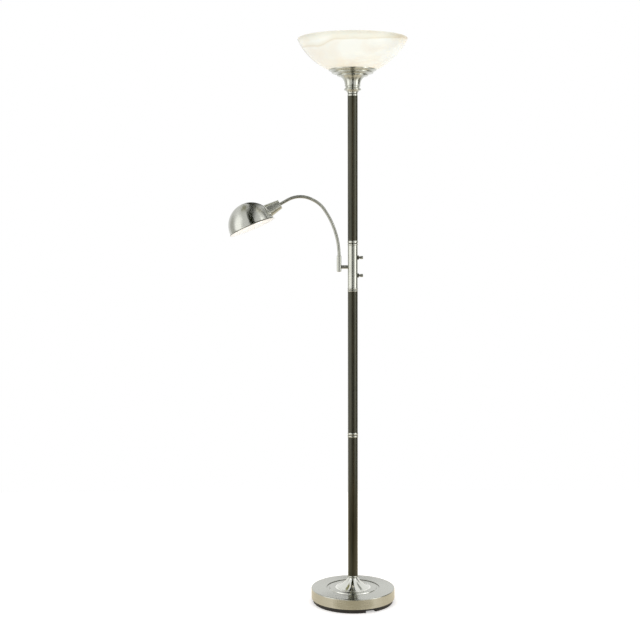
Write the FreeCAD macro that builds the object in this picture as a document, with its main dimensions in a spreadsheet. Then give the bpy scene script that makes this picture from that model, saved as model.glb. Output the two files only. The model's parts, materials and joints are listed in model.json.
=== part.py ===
import FreeCAD, Part
import math
import os

import Sketcher
from FreeCAD import Placement, Rotation, Vector

# Torchiere floor lamp with a side reading light, in millimetres.
# Origin: on the floor, on the pole's axis. +Z is up, -Y is the front,
# and the reading light hangs out towards -X.

# ---------------------------------------------------------------- driving sizes

SIZES = (
    ("fit_gap", 0.1, "clearance round a piece that is fixed in place"),
    ("run_gap", 0.05, "clearance round a piece that turns"),
    ("seat_gap", 0.3, "gap between curved faces that rest on each other"),
    # foot and base
    ("base_radius", 135.0, "spun metal cover"),
    ("foot_inset", 6.0, "how far the foot lies inside the cover's edge"),
    ("foot_height", 14.0, "how much of the pan shows under the metal"),
    ("foot_edge", 1.5, "bevel at the pan's lower edge"),
    ("foot_wall", 3.0, "wall of the pan"),
    ("foot_plate", 3.0, "floor of the pan"),
    ("foot_flange", 2.0, "thickness of the flange inside the metal wall"),
    ("rib_top", 10.0, "height of the ribs that carry the weight"),
    ("rib_width", 2.5, "thickness of a rib"),
    ("notch_width", 35.0, "cord notch"),
    ("notch_height", 7.0, "cord notch"),
    ("notch_depth", 32.0, "cord notch, inward from the pan's edge"),
    ("notch_turn", 24.8, "degrees from the front towards +X"),
    ("cord_hole", 3.4, "radius of the hole for the lead in the bushing"),
    ("bushing_radius", 6.0, "barrel of the cord bushing"),
    ("screw_circle", 70.0, "circle of the three pan screws"),
    ("screw_radius", 2.0, "shank of a pan screw"),
    ("screw_head", 4.0, "head of a pan screw"),
    ("weight_inset", 17.0, "how far the cast iron weight lies inside the cover's edge"),
    ("weight_thick", 14.0, "cast iron weight"),
    ("hub_radius", 24.0, "foot of the weight's hub"),
    ("hub_top_radius", 10.5, "top of the weight's hub"),
    ("hub_slope", 24.0, "height of the sloping foot of the hub"),
    ("base_top", 47.0, "height of the cover's flat top"),
    ("base_round", 3.5, "rounded edge of the cover"),
    ("gauge", 1.0, "thickness of the spun metal"),
    ("groove_outer", 84.5, "ring groove in the cover"),
    ("groove_inner", 76.0, "ring groove in the cover"),
    ("groove_deep", 2.0, "ring groove in the cover"),
    ("bead_outer", 57.5, "bead at the foot of the bell"),
    ("bell_foot", 50.0, "radius where the bell starts"),
    ("bell_curve", 68.0, "curve of the bell"),
    ("bell_neck", 13.0, "radius at the top of the bell"),
    ("bell_top", 81.0, "height of the bell's top"),
    ("base_ring", 5.5, "height of the ring under the pole"),
    # pole
    ("pole_radius", 16.0, "wooden pole"),
    ("pole_bore", 11.0, "bore of the wooden pole"),
    ("pole_length", 453.7, "each of the three poles"),
    ("ring_radius", 17.2, "beaded rings between the poles"),
    ("bead_rise", 0.9, "how far a bead stands out of its ring"),
    ("rod_radius", 5.0, "threaded lamp pipe"),
    ("rod_bore", 3.5, "threaded lamp pipe"),
    ("insert_length", 22.0, "steel insert in each pole end"),
    ("joint_height", 15.5, "ring between the lower and middle poles"),
    ("low_collar", 11.3, "ring under the switch tube"),
    ("tube_length", 135.7, "switch tube"),
    ("high_collar", 15.3, "ring over the switch tube"),
    ("tube_radius", 16.1, "switch tube"),
    ("tube_wall", 1.5, "switch tube"),
    ("spigot", 8.0, "how far a ring reaches into the switch tube"),
    # switches and knobs
    ("high_switch", 96.9, "upper switch, over the foot of the switch tube"),
    ("low_switch", 39.8, "lower switch, over the foot of the switch tube"),
    ("switch_long", 24.0, "switch housing, along the pole"),
    ("switch_wide", 18.0, "switch housing, across"),
    ("switch_deep", 14.0, "switch housing, towards the knob"),
    ("switch_front", 11.0, "face of the housing, from the pole's axis"),
    ("thread_radius", 5.0, "threaded neck of the switch"),
    ("thread_end", 20.0, "end of the neck, from the pole's axis"),
    ("nut_radius", 7.0, "round nut on the neck"),
    ("nut_thick", 3.0, "round nut on the neck"),
    ("shaft_radius", 3.0, "switch shaft"),
    ("knob_reach", 32.7, "end of the knob, from the pole's axis"),
    ("knob_neck", 3.9, "radius of the knob's neck"),
    ("knob_neck_length", 3.8, "length of the knob's neck"),
    ("knob_radius", 5.0, "radius of the knob's head"),
    # arm holder
    ("sleeve_offset", 43.5, "axis of the sleeve, from the pole's axis"),
    ("sleeve_radius", 7.5, "vertical sleeve"),
    ("stub_height", 66.9, "stub, over the foot of the switch tube"),
    ("sleeve_below", 15.0, "underside of the sleeve's cap, below the stub"),
    ("sleeve_above", 36.1, "top of the sleeve, over the stub"),
    ("stub_radius", 5.75, "stub between pole and sleeve"),
    ("stub_tail", 4.0, "threaded ends of the stub"),
    ("stub_bore", 2.5, "wire way in the stub"),
    ("screw_above", 21.4, "friction screw, over the stub"),
    # gooseneck: curves and turns of its four lengths
    ("neck_radius", 5.0, "gooseneck"),
    ("neck_inside", 28.7, "straight end of the gooseneck in the sleeve"),
    ("ball_lead", 6.0, "straight start of a length, ahead of its joint"),
    ("ball_open", 2.4, "gap between a joint's centre and the next length"),
    ("curve_low", 242.0, "curve of the two lower lengths"),
    ("turn_low", 17.0, "degrees turned in each of the two lower lengths"),
    ("curve_high", 87.5, "curve of the third length"),
    ("turn_high", 28.6, "degrees turned in the third length"),
    ("curve_tip", 84.0, "curve of the last length"),
    ("turn_tip", 56.5, "degrees turned in the last length"),
    ("tip_straight", 26.0, "straight end of the last length, up to the cup"),
    ("tip_inside", 14.0, "end of the last length inside the cup"),
    # reading head
    ("cup_length", 43.0, "socket cup"),
    ("cup_small", 14.8, "radius of the cup at the gooseneck"),
    ("cup_large", 21.5, "radius of the cup at the shade"),
    ("cup_wall", 1.2, "wall of the cup"),
    ("dome_radius", 73.6, "reading shade"),
    ("dome_skirt", 6.6, "straight part under the shade's dome"),
    ("dome_gauge", 0.9, "sheet of the reading shade"),
    ("dome_flare", 2.6, "how far the shade's lip turns out"),
    ("flare_height", 4.2, "height of the turned-out lip"),
    ("dome_along", 113.1, "dome's centre, along the cup's axis"),
    ("dome_aside", 14.4, "dome's centre, below the cup's axis"),
    ("dome_tilt", 22.8, "degrees that the shade's mouth is tilted"),
    ("dome_roll", 5.0, "degrees that the shade's mouth turns to the front"),
    ("saddle_radius", 23.5, "ring between cup and shade"),
    ("saddle_thick", 2.4, "ring between cup and shade"),
    ("lamp_holder", 16.8, "radius of both lamp holders"),
    ("bulb_cap", 13.2, "radius of both screw caps"),
    ("small_bulb", 21.0, "radius of the reading bulb"),
    ("large_bulb", 29.0, "radius of the upper bulb"),
    # torchiere head
    ("vase_height", 24.6, "turned vase over the upper pole"),
    ("vase_bulge", 27.3, "radius of the vase"),
    ("throat_radius", 21.7, "narrowest part of the trumpet"),
    ("trumpet_height", 31.8, "trumpet over the vase"),
    ("trumpet_rim", 44.0, "trumpet, under the holder"),
    ("trumpet_curve", 29.0, "curve of the trumpet"),
    ("step_one", 49.0, "lowest disc of the shade holder"),
    ("step_two", 65.5, "middle disc of the shade holder"),
    ("step_three", 75.0, "top disc of the shade holder"),
    ("bowl_curve", 191.5, "glass bowl, a cap of a ball"),
    ("bowl_depth", 109.5, "glass bowl, from the ball's lowest point"),
    ("bowl_thick", 4.0, "glass bowl"),
    ("bowl_hole", 20.6, "hole in the glass bowl"),
    ("bowl_lift", 5.0, "ball's lowest point, over the holder's underside"),
    ("seat_radius", 32.0, "rubber seat under the bowl"),
    ("clamp_radius", 27.0, "ring that clamps the bowl"),
)

doc = FreeCAD.newDocument("torchiere")
sheet = doc.addObject("Spreadsheet::Sheet", "Sizes")
for row, (word, number, note) in enumerate(SIZES, start=1):
    sheet.set(f"A{row}", word)
    sheet.set(f"B{row}", str(number))
    sheet.set(f"C{row}", note)
    sheet.setAlias(f"B{row}", word)
doc.recompute()


class Size:
    """A number together with the sheet formula that gives it."""

    def __init__(self, number, formula):
        self.number = float(number)
        self.formula = formula

    @staticmethod
    def of(value):
        return value if isinstance(value, Size) else Size(value, repr(float(value)))

    def __add__(self, other):
        other = Size.of(other)
        return Size(self.number + other.number, f"({self.formula} + {other.formula})")

    def __sub__(self, other):
        other = Size.of(other)
        return Size(self.number - other.number, f"({self.formula} - {other.formula})")

    def __mul__(self, other):
        other = Size.of(other)
        return Size(self.number * other.number, f"({self.formula} * {other.formula})")

    def __truediv__(self, other):
        other = Size.of(other)
        return Size(self.number / other.number, f"({self.formula} / {other.formula})")

    def __neg__(self):
        return Size(-self.number, f"(-{self.formula})")

    def __radd__(self, other):
        return Size.of(other) + self

    def __rsub__(self, other):
        return Size.of(other) - self

    def __rmul__(self, other):
        return Size.of(other) * self

    def __float__(self):
        return self.number


def size(word):
    return Size(sheet.get(word), f"Sizes.{word}")


def root(value):
    return Size(math.sqrt(value.number), f"sqrt({value.formula})")


def bowl_rise(curve, across):
    """Height of a ball of this curve over its lowest point, this far across."""
    return curve - root(curve * curve - across * across)


def bind(thing, prop, value):
    """Sets a property now and ties it to the sheet."""
    value = Size.of(value)
    if "." not in prop:
        setattr(thing, prop, value.number)
    thing.setExpression(prop, value.formula)


# ---------------------------------------------------------------- building blocks

NODES = []


def place(thing, label, at=(0, 0, 0), turn=None):
    """Names a sub-part, puts it in its place and lists it for export."""
    base = [Size.of(value) for value in at]
    turn = turn or Rotation()
    thing.Label = label
    thing.Placement = Placement(Vector(*[value.number for value in base]), turn)
    for axis, value in zip("xyz", base):
        if "Sizes" in value.formula:
            thing.setExpression(f"Placement.Base.{axis}", value.formula)
    NODES.append(thing)
    return thing


def new_body(label, at=(0, 0, 0), turn=None):
    body = doc.addObject("PartDesign::Body", "Body_" + label)
    return place(body, label, at, turn)


def new_sketch(body, plane, lift=0.0):
    """An empty sketch on one of the body's own origin planes."""
    support = [item for item in body.Origin.OriginFeatures if item.Role == plane][0]
    sketch = body.newObject("Sketcher::SketchObject", "Sketch")
    sketch.AttachmentSupport = (support, [""])
    sketch.MapMode = "FlatFace"
    lift = Size.of(lift)
    sketch.AttachmentOffset = Placement(Vector(0, 0, lift.number), Rotation())
    if "Sizes" in lift.formula:
        sketch.setExpression("AttachmentOffset.Base.z", lift.formula)
    return sketch


def tie(sketch, kind, edge, end, value):
    """Holds one end of an edge at a distance from the sketch's origin."""
    if abs(value.number) < 1e-9:
        axis = -2 if kind == "DistanceX" else -1
        sketch.addConstraint(Sketcher.Constraint("PointOnObject", edge, end, axis))
        return
    if value.number > 0:
        rule = Sketcher.Constraint(kind, -1, 1, edge, end, value.number)
    else:
        value = -value
        rule = Sketcher.Constraint(kind, edge, end, -1, 1, value.number)
    index = sketch.addConstraint(rule)
    sketch.setExpression(f"Constraints[{index}]", value.formula)


def corner_points(corners):
    return [(Size.of(corner[0]), Size.of(corner[1])) for corner in corners]


def draw(sketch, corners, closed=True):
    """Draws lines and arcs through corners, each one tied to the sheet.

    A corner is (across, up) or (across, up, curve). A curve bends the edge
    that leaves the corner: it turns left if positive and right if negative.
    """
    points = corner_points(corners)
    count = len(points) if closed else len(points) - 1
    ends = []
    for index in range(count):
        start, stop = points[index], points[(index + 1) % len(points)]
        first = Vector(start[0].number, start[1].number, 0)
        last = Vector(stop[0].number, stop[1].number, 0)
        if len(corners[index]) == 2:
            edge = sketch.addGeometry(Part.LineSegment(first, last), False)
            ends.append((edge, 1, 2))
            continue
        curve = Size.of(corners[index][2])
        left = curve.number > 0
        radius = curve if left else -curve
        chord = last - first
        side = Vector(-chord.y, chord.x, 0).normalize() * (1 if left else -1)
        reach = math.sqrt(radius.number ** 2 - (chord.Length / 2) ** 2)
        centre = (first + last) / 2 + side * reach
        begin, finish = (first, last) if left else (last, first)
        low = math.atan2(begin.y - centre.y, begin.x - centre.x)
        high = math.atan2(finish.y - centre.y, finish.x - centre.x)
        if high < low:
            high += 2 * math.pi
        circle = Part.Circle(centre, Vector(0, 0, 1), radius.number)
        edge = sketch.addGeometry(Part.ArcOfCircle(circle, low, high), False)
        index = sketch.addConstraint(Sketcher.Constraint("Radius", edge, radius.number))
        sketch.setExpression(f"Constraints[{index}]", radius.formula)
        ends.append((edge, 1, 2) if left else (edge, 2, 1))
    for index, (edge, start_end, stop_end) in enumerate(ends):
        if index + 1 < len(ends) or closed:
            follower = ends[(index + 1) % len(ends)]
            sketch.addConstraint(
                Sketcher.Constraint("Coincident", edge, stop_end, follower[0], follower[1]))
        tie(sketch, "DistanceX", edge, start_end, points[index][0])
        tie(sketch, "DistanceY", edge, start_end, points[index][1])
    if not closed:
        edge, _, stop_end = ends[-1]
        tie(sketch, "DistanceX", edge, stop_end, points[-1][0])
        tie(sketch, "DistanceY", edge, stop_end, points[-1][1])
    return sketch


def circle(sketch, radius, across=0.0, up=0.0):
    radius, across, up = Size.of(radius), Size.of(across), Size.of(up)
    centre = Vector(across.number, up.number, 0)
    edge = sketch.addGeometry(Part.Circle(centre, Vector(0, 0, 1), radius.number), False)
    index = sketch.addConstraint(Sketcher.Constraint("Radius", edge, radius.number))
    sketch.setExpression(f"Constraints[{index}]", radius.formula)
    tie(sketch, "DistanceX", edge, 3, across)
    tie(sketch, "DistanceY", edge, 3, up)
    return sketch


def turned(body, corners):
    """A piece turned on the body's own Z axis."""
    feature = body.newObject("PartDesign::Revolution", "Turned")
    sketch = draw(new_sketch(body, "XZ_Plane"), corners)
    feature.Profile = sketch
    feature.ReferenceAxis = (sketch, ["V_Axis"])
    feature.Angle = 360.0
    body.Tip = feature
    return feature


def padded(body, sketch, length):
    feature = body.newObject("PartDesign::Pad", "Pad")
    feature.Profile = sketch
    bind(feature, "Length", length)
    body.Tip = feature
    return feature


def cut(body, sketch, length, forward=True):
    """Cuts a pocket along the sketch's own normal, or against it."""
    feature = body.newObject("PartDesign::Pocket", "Cut")
    feature.Profile = sketch
    feature.Reversed = forward
    bind(feature, "Length", length)
    body.Tip = feature
    return feature


def repeated(body, features, count):
    """Repeats features round the body's Z axis."""
    feature = body.newObject("PartDesign::PolarPattern", "Round")
    feature.Originals = features
    axis = [item for item in body.Origin.OriginFeatures if item.Role == "Z_Axis"][0]
    feature.Axis = (axis, [""])
    feature.Angle = 360.0
    feature.Occurrences = count
    body.Tip = feature
    return feature


def box_corners(half_across, low, high):
    return [(-half_across, low), (half_across, low), (half_across, high), (-half_across, high)]


def hexagon(flats):
    """Corners of a hexagon, from its size across flats."""
    reach = flats / math.sqrt(3)
    angles = [math.radians(60 * step) for step in range(6)]
    return [(reach * round(math.cos(a), 9), reach * round(math.sin(a), 9)) for a in angles]


def sleeve_solid(label, outer, inner, low, height):
    """A plain tube from two cylinders, one cut from the other."""
    shapes = []
    for word, radius in (("outer", outer), ("inner", inner)):
        cylinder = doc.addObject("Part::Cylinder", f"{label}_{word}")
        bind(cylinder, "Radius", radius)
        bind(cylinder, "Height", height)
        cylinder.Placement.Base.z = Size.of(low).number
        cylinder.setExpression("Placement.Base.z", Size.of(low).formula)
        shapes.append(cylinder)
    tube = doc.addObject("Part::Cut", label)
    tube.Base, tube.Tool = shapes
    return tube


def hex_nut(label, flats, bore, thick, at, turn=None):
    body = new_body(label, at, turn)
    sketch = circle(draw(new_sketch(body, "XY_Plane"), hexagon(flats)), bore)
    padded(body, sketch, thick)
    return body


def pipe_fit(radius):
    return radius + size("fit_gap")


# ---------------------------------------------------------------- foot and base

def heading(angle):
    """A turn about the pole's axis, in degrees."""
    return Rotation(Vector(0, 0, 1), angle)


FOOT_RADIUS = size("base_radius") - size("foot_inset")


def build_foot():
    notch = heading(size("notch_turn").number)
    edge = FOOT_RADIUS
    inside = edge - size("foot_wall")
    flange = size("base_radius") - size("gauge") - size("seat_gap")
    flange_top = size("foot_height") + size("foot_flange")
    pan = new_body("foot_pan", turn=notch)
    turned(pan, [
        (0, 0),
        (edge - size("foot_edge"), 0),
        (edge, size("foot_edge")),
        (edge, size("foot_height")),
        (flange, size("foot_height")),
        (flange, flange_top),
        (inside, flange_top),
        (inside, size("foot_plate")),
        (0, size("foot_plate")),
    ])
    rib_height = size("rib_top") - size("foot_plate")
    half_rib = size("rib_width") / 2
    rib = padded(pan, draw(new_sketch(pan, "XY_Plane", size("foot_plate")), [
        (size("hub_radius"), -half_rib),
        (inside + 1, -half_rib),
        (inside + 1, half_rib),
        (size("hub_radius"), half_rib),
    ]), rib_height)
    repeated(pan, [rib], 6)
    tunnel_end = edge - size("notch_depth")
    half_notch = size("notch_width") / 2
    roof = size("notch_height") + 2
    padded(pan, draw(new_sketch(pan, "XY_Plane", size("foot_plate")), box_corners(
        half_notch + size("rib_width"), -(inside + 1), -(tunnel_end - size("rib_width")))),
        roof - size("foot_plate"))
    cut(pan, draw(new_sketch(pan, "XY_Plane"), box_corners(
        half_notch, -(edge + 1), -tunnel_end)), size("notch_height"))
    bushing_at = tunnel_end + size("bushing_radius") * 2
    barrel_fit = pipe_fit(size("bushing_radius"))
    cut(pan, circle(new_sketch(pan, "XY_Plane", size("foot_plate")), barrel_fit,
                    0, -bushing_at), roof)
    # the bushing slides into its seat from the side of the pole
    cut(pan, draw(new_sketch(pan, "XY_Plane", size("foot_plate")), box_corners(
        barrel_fit, -bushing_at, -(tunnel_end - size("rib_width") - 1))), roof)
    boss_sketch = circle(new_sketch(pan, "XY_Plane", size("foot_plate")),
                         size("screw_head") + 1.5, 0, size("screw_circle"))
    boss = padded(pan, boss_sketch, rib_height)
    repeated(pan, [boss], 3)
    hole = cut(pan, circle(new_sketch(pan, "XY_Plane"), pipe_fit(size("screw_radius")),
                           0, size("screw_circle")), size("rib_top") + 1)
    sink = cut(pan, circle(new_sketch(pan, "XY_Plane"), pipe_fit(size("screw_head")),
                           0, size("screw_circle")), size("foot_plate"))
    repeated(pan, [hole, sink], 3)

    bushing = new_body("cord_bushing", at=(
        bushing_at * math.sin(math.radians(size("notch_turn").number)),
        -bushing_at * math.cos(math.radians(size("notch_turn").number)), 0))
    barrel, bore = size("bushing_radius"), size("cord_hole")
    turned(bushing, [
        (bore, size("notch_height") - 1.8),
        (barrel + 1.2, size("notch_height") - 1.8),
        (barrel + 2, size("notch_height") - 1),
        (barrel + 2, size("notch_height")),
        (barrel, size("notch_height")),
        (barrel, roof),
        (barrel + 1.5, roof),
        (barrel + 0.6, roof + 1.4),
        (bore, roof + 1.4),
    ])

    screws = doc.addObject("Part::Compound", "pan_screws")
    made = []
    for step in range(3):
        angle = math.radians(90 + 120 * step + size("notch_turn").number)
        spot = size("screw_circle").number
        where = Placement(Vector(spot * math.cos(angle), spot * math.sin(angle), 0), Rotation())
        head = doc.addObject("Part::Cylinder", f"screw_head_{step}")
        shank = doc.addObject("Part::Cylinder", f"screw_shank_{step}")
        bind(head, "Radius", size("screw_head"))
        bind(head, "Height", size("foot_plate") - 1)
        bind(shank, "Radius", size("screw_radius"))
        bind(shank, "Height", size("rib_top") - size("foot_plate") + 8)
        head.Placement = shank.Placement = where
        head.setExpression("Placement.Base.z", "1")
        shank.setExpression("Placement.Base.z", size("foot_plate").formula)
        screw = doc.addObject("Part::Fuse", f"screw_{step}")
        screw.Base, screw.Tool = head, shank
        made.append(screw)
    screws.Links = made
    place(screws, "pan_screws")


def build_weight():
    low = size("rib_top")
    top = low + size("weight_thick")
    hub_top = size("bell_top") - size("gauge") - size("fit_gap")
    bore = pipe_fit(size("rod_radius"))
    edge = size("base_radius") - size("weight_inset")
    weight = new_body("base_weight", turn=heading(size("notch_turn").number))
    turned(weight, [
        (bore, low),
        (edge - 2, low),
        (edge, low + 2),
        (edge, top - 2),
        (edge - 2, top),
        (size("hub_radius"), top),
        (size("hub_top_radius"), top + size("hub_slope")),
        (size("hub_top_radius"), hub_top),
        (bore, hub_top),
    ])
    # slot over the bushing, and blind holes for the pan screws
    slot_end = FOOT_RADIUS - size("notch_depth") + size("bushing_radius") - 2
    cut(weight, draw(new_sketch(weight, "XY_Plane", low), box_corners(
        size("bushing_radius") * 2, -(edge + 1), -slot_end)),
        size("weight_thick"))
    hole = cut(weight, circle(new_sketch(weight, "XY_Plane", low), pipe_fit(size("screw_radius")),
                              0, size("screw_circle")), 9)
    repeated(weight, [hole], 3)

    washer_thick, nut_thick = 1.6, 4.6
    washer = new_body("base_washer", at=(0, 0, low - washer_thick))
    ring = circle(circle(new_sketch(washer, "XY_Plane"), size("rod_radius") * 3), bore)
    padded(washer, ring, washer_thick)
    hex_nut("base_nut", size("rod_radius") * 3.4, bore, nut_thick,
            (0, 0, low - washer_thick - nut_thick))
    rod_low = low - washer_thick - nut_thick + 0.3
    rod_top = size("bell_top") + size("base_ring") + size("insert_length") - 3
    rod = sleeve_solid("base_rod", size("rod_radius"), size("rod_bore"), rod_low, rod_top - rod_low)
    NODES.append(rod)


def build_cover():
    gauge, top = size("gauge"), size("base_top")
    edge, round_off = size("base_radius"), size("base_round")
    land = top + 0.4
    floor = land - size("groove_deep")
    bore = pipe_fit(size("rod_radius"))
    bell_foot, bell_foot_up = size("bell_foot"), top + 1.5
    cover = new_body("base_shell")
    turned(cover, [
        (edge - gauge, size("foot_height")),
        (edge, size("foot_height")),
        (edge, top - round_off, round_off),
        (edge - round_off, top),
        (size("groove_outer") + 2, land),
        (size("groove_outer"), floor),
        (size("groove_inner") + 1, floor),
        (size("groove_inner") - 1, land),
        (size("bead_outer"), land, (size("bead_outer") - bell_foot) * 0.587),
        (bell_foot, bell_foot_up, -size("bell_curve")),
        (size("bell_neck"), size("bell_top")),
        (bore, size("bell_top")),
        (bore, size("bell_top") - gauge),
        (size("bell_neck") - gauge, size("bell_top") - gauge, size("bell_curve") + gauge),
        (bell_foot, bell_foot_up - gauge * 1.2),
        (size("bead_outer") - 0.4, land - gauge),
        (size("groove_inner") - 1, land - gauge),
        (size("groove_inner") + 1, floor - gauge),
        (size("groove_outer") + 0.6, floor - gauge),
        (size("groove_outer") + 2.6, land - gauge),
        (edge - round_off, top - gauge, -(round_off - gauge)),
        (edge - gauge, top - round_off),
    ])
    ring_edge = size("ring_radius")
    height = size("base_ring")
    ring = new_body("base_collar", at=(0, 0, size("bell_top")))
    turned(ring, [
        (bore, 0),
        (ring_edge - 3, 0),
        (ring_edge - 0.3, 1.2, height * 0.47),
        (ring_edge - 0.3, height - 0.8),
        (ring_edge - 1, height),
        (bore, height),
    ])


# ---------------------------------------------------------------- pole

POLE_LOW = size("bell_top") + size("base_ring")
JOINT_LOW = POLE_LOW + size("pole_length")
MIDDLE_LOW = JOINT_LOW + size("joint_height")
COLLAR_LOW = MIDDLE_LOW + size("pole_length")
TUBE_LOW = COLLAR_LOW + size("low_collar")
COLLAR_HIGH = TUBE_LOW + size("tube_length")
UPPER_LOW = COLLAR_HIGH + size("high_collar")
NECK_LOW = UPPER_LOW + size("pole_length")
SWITCH_HIGH = TUBE_LOW + size("high_switch")
SWITCH_LOW = TUBE_LOW + size("low_switch")
STUB_UP = TUBE_LOW + size("stub_height")
SLEEVE_TOP = STUB_UP + size("sleeve_above")


def build_pole(word, low):
    """A bored wooden pole with a steel insert in each end."""
    pole = new_body(f"{word}_pole", at=(0, 0, low))
    padded(pole, circle(circle(new_sketch(pole, "XY_Plane"), size("pole_radius")),
                        size("pole_bore")), size("pole_length"))
    pair = doc.addObject("Part::Compound", f"{word}_pole_inserts")
    outer = size("pole_bore") - size("fit_gap")
    inner = pipe_fit(size("rod_radius"))
    length = size("insert_length")
    pair.Links = [
        sleeve_solid(f"{word}_low_insert", outer, inner, low, length),
        sleeve_solid(f"{word}_high_insert", outer, inner, low + size("pole_length") - length, length),
    ]
    place(pair, f"{word}_pole_inserts")


def beaded_ring(label, low, height, groove, below, above):
    """A turned ring with two beads, and a spigot where it meets the switch tube."""
    bore = pipe_fit(size("rod_radius"))
    edge = size("ring_radius")
    waist = edge - size("bead_rise")
    inside = size("tube_radius") - size("tube_wall") - size("fit_gap")
    half_groove = 0.5

    def bead(span):
        """Curve of an arc that rises by bead_rise over this span."""
        rise = size("bead_rise")
        return (span * span / 4 + rise * rise) / (rise * 2)

    corners = [(bore, -below)]
    if below:
        corners += [(inside, -below), (inside, 0)]
    corners += [
        (waist, 0, bead(groove - half_groove)),
        (waist, groove - half_groove),
        (waist - 1, groove - half_groove),
        (waist - 1, groove + half_groove),
        (waist, groove + half_groove, bead(height - groove - half_groove)),
        (waist, height),
    ]
    if above:
        corners += [(inside, height), (inside, height + above)]
    corners.append((bore, height + above))
    body = new_body(label, at=(0, 0, low))
    turned(body, corners)
    return body


def build_nipple(label, low, length):
    NODES.append(sleeve_solid(label, size("rod_radius"), size("rod_bore"), low, length))


def build_poles():
    reach = size("insert_length") - 3
    build_pole("lower", POLE_LOW)
    build_pole("middle", MIDDLE_LOW)
    build_pole("upper", UPPER_LOW)
    height = size("joint_height")
    beaded_ring("pole_coupling", JOINT_LOW, height, height * 0.44, 0, 0)
    build_nipple("coupling_nipple", JOINT_LOW - reach, height + reach * 2)
    height, spigot = size("low_collar"), size("spigot")
    beaded_ring("lower_collar", COLLAR_LOW, height, height * 0.47, 0, spigot)
    build_nipple("lower_collar_nipple", COLLAR_LOW - reach, reach + height + spigot + 3)
    height = size("high_collar")
    beaded_ring("upper_collar", COLLAR_HIGH, height, height * 0.4, spigot, 0)
    build_nipple("upper_collar_nipple", COLLAR_HIGH - spigot - 3, spigot + 3 + height + reach)


# ---------------------------------------------------------------- switch tube, switches, knobs

ALONG_X = Rotation(Vector(0, 1, 0), 90)     # turns a piece's own Z axis to +X


def build_switch_tube():
    tube = new_body("switch_tube", at=(0, 0, TUBE_LOW))
    outer, inner = size("tube_radius"), size("tube_radius") - size("tube_wall")
    padded(tube, circle(circle(new_sketch(tube, "XY_Plane"), outer), inner), size("tube_length"))
    for height in (SWITCH_HIGH, SWITCH_LOW):
        cut(tube, circle(new_sketch(tube, "YZ_Plane"), pipe_fit(size("thread_radius")),
                         0, height - TUBE_LOW), outer + 1)
    cut(tube, circle(new_sketch(tube, "YZ_Plane"), pipe_fit(size("stub_tail")),
                     0, size("stub_height")), outer + 1, forward=False)


def build_switch(word, height):
    """Rotary switch, its nut, and the shaft and knob that turn together."""
    deep, front = size("switch_deep"), size("switch_front")
    neck = size("thread_end") - front
    bore = size("shaft_radius") + size("run_gap")
    switch = new_body(f"{word}_switch", at=(front - deep, 0, height), turn=ALONG_X)
    padded(switch, draw(new_sketch(switch, "XY_Plane"), box_corners(
        size("switch_long") / 2, -size("switch_wide") / 2, size("switch_wide") / 2)), deep)
    padded(switch, circle(new_sketch(switch, "XY_Plane", deep), size("thread_radius")), neck)
    cut(switch, circle(new_sketch(switch, "XY_Plane", size("switch_deep") / 2), bore),
        deep / 2 + neck + 1)

    edge, thick = size("nut_radius"), size("nut_thick")
    hole = pipe_fit(size("thread_radius"))
    nut = new_body(f"{word}_switch_nut", at=(size("tube_radius"), 0, height), turn=ALONG_X)
    turned(nut, [
        (hole, 0), (edge - 0.6, 0), (edge, 0.6), (edge, thick - 0.6), (edge - 0.9, thick), (hole, thick),
    ])
    nick = cut(nut, circle(new_sketch(nut, "XY_Plane"), 0.6, edge + 0.15, 0), thick)
    repeated(nut, [nick], 10)

    start = size("thread_end") + size("seat_gap")
    length = size("knob_reach") - start
    neck_radius, neck_length = size("knob_neck"), size("knob_neck_length")
    head = size("knob_radius")
    blind = length - 3
    knob = new_body(f"{word}_knob", at=(start, 0, height), turn=ALONG_X)
    turned(knob, [
        (pipe_fit(size("shaft_radius")), 0),
        (neck_radius, 0),
        (neck_radius, neck_length),
        (head - 0.5, neck_length),
        (head, neck_length + 0.5),
        (head, length - 1, 1.2),
        (head - 1, length),
        (0, length),
        (0, blind),
        (pipe_fit(size("shaft_radius")), blind),
    ])
    flute = cut(knob, circle(new_sketch(knob, "XY_Plane", neck_length), 0.45, head + 0.1, 0), length)
    repeated(knob, [flute], 12)
    shaft_low = front - deep / 2 + 0.5
    shaft = new_body(f"{word}_knob_shaft", at=(shaft_low, 0, height), turn=ALONG_X)
    padded(shaft, circle(new_sketch(shaft, "XY_Plane"), size("shaft_radius")),
           start + blind - 0.5 - shaft_low)


# ---------------------------------------------------------------- arm holder

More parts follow.
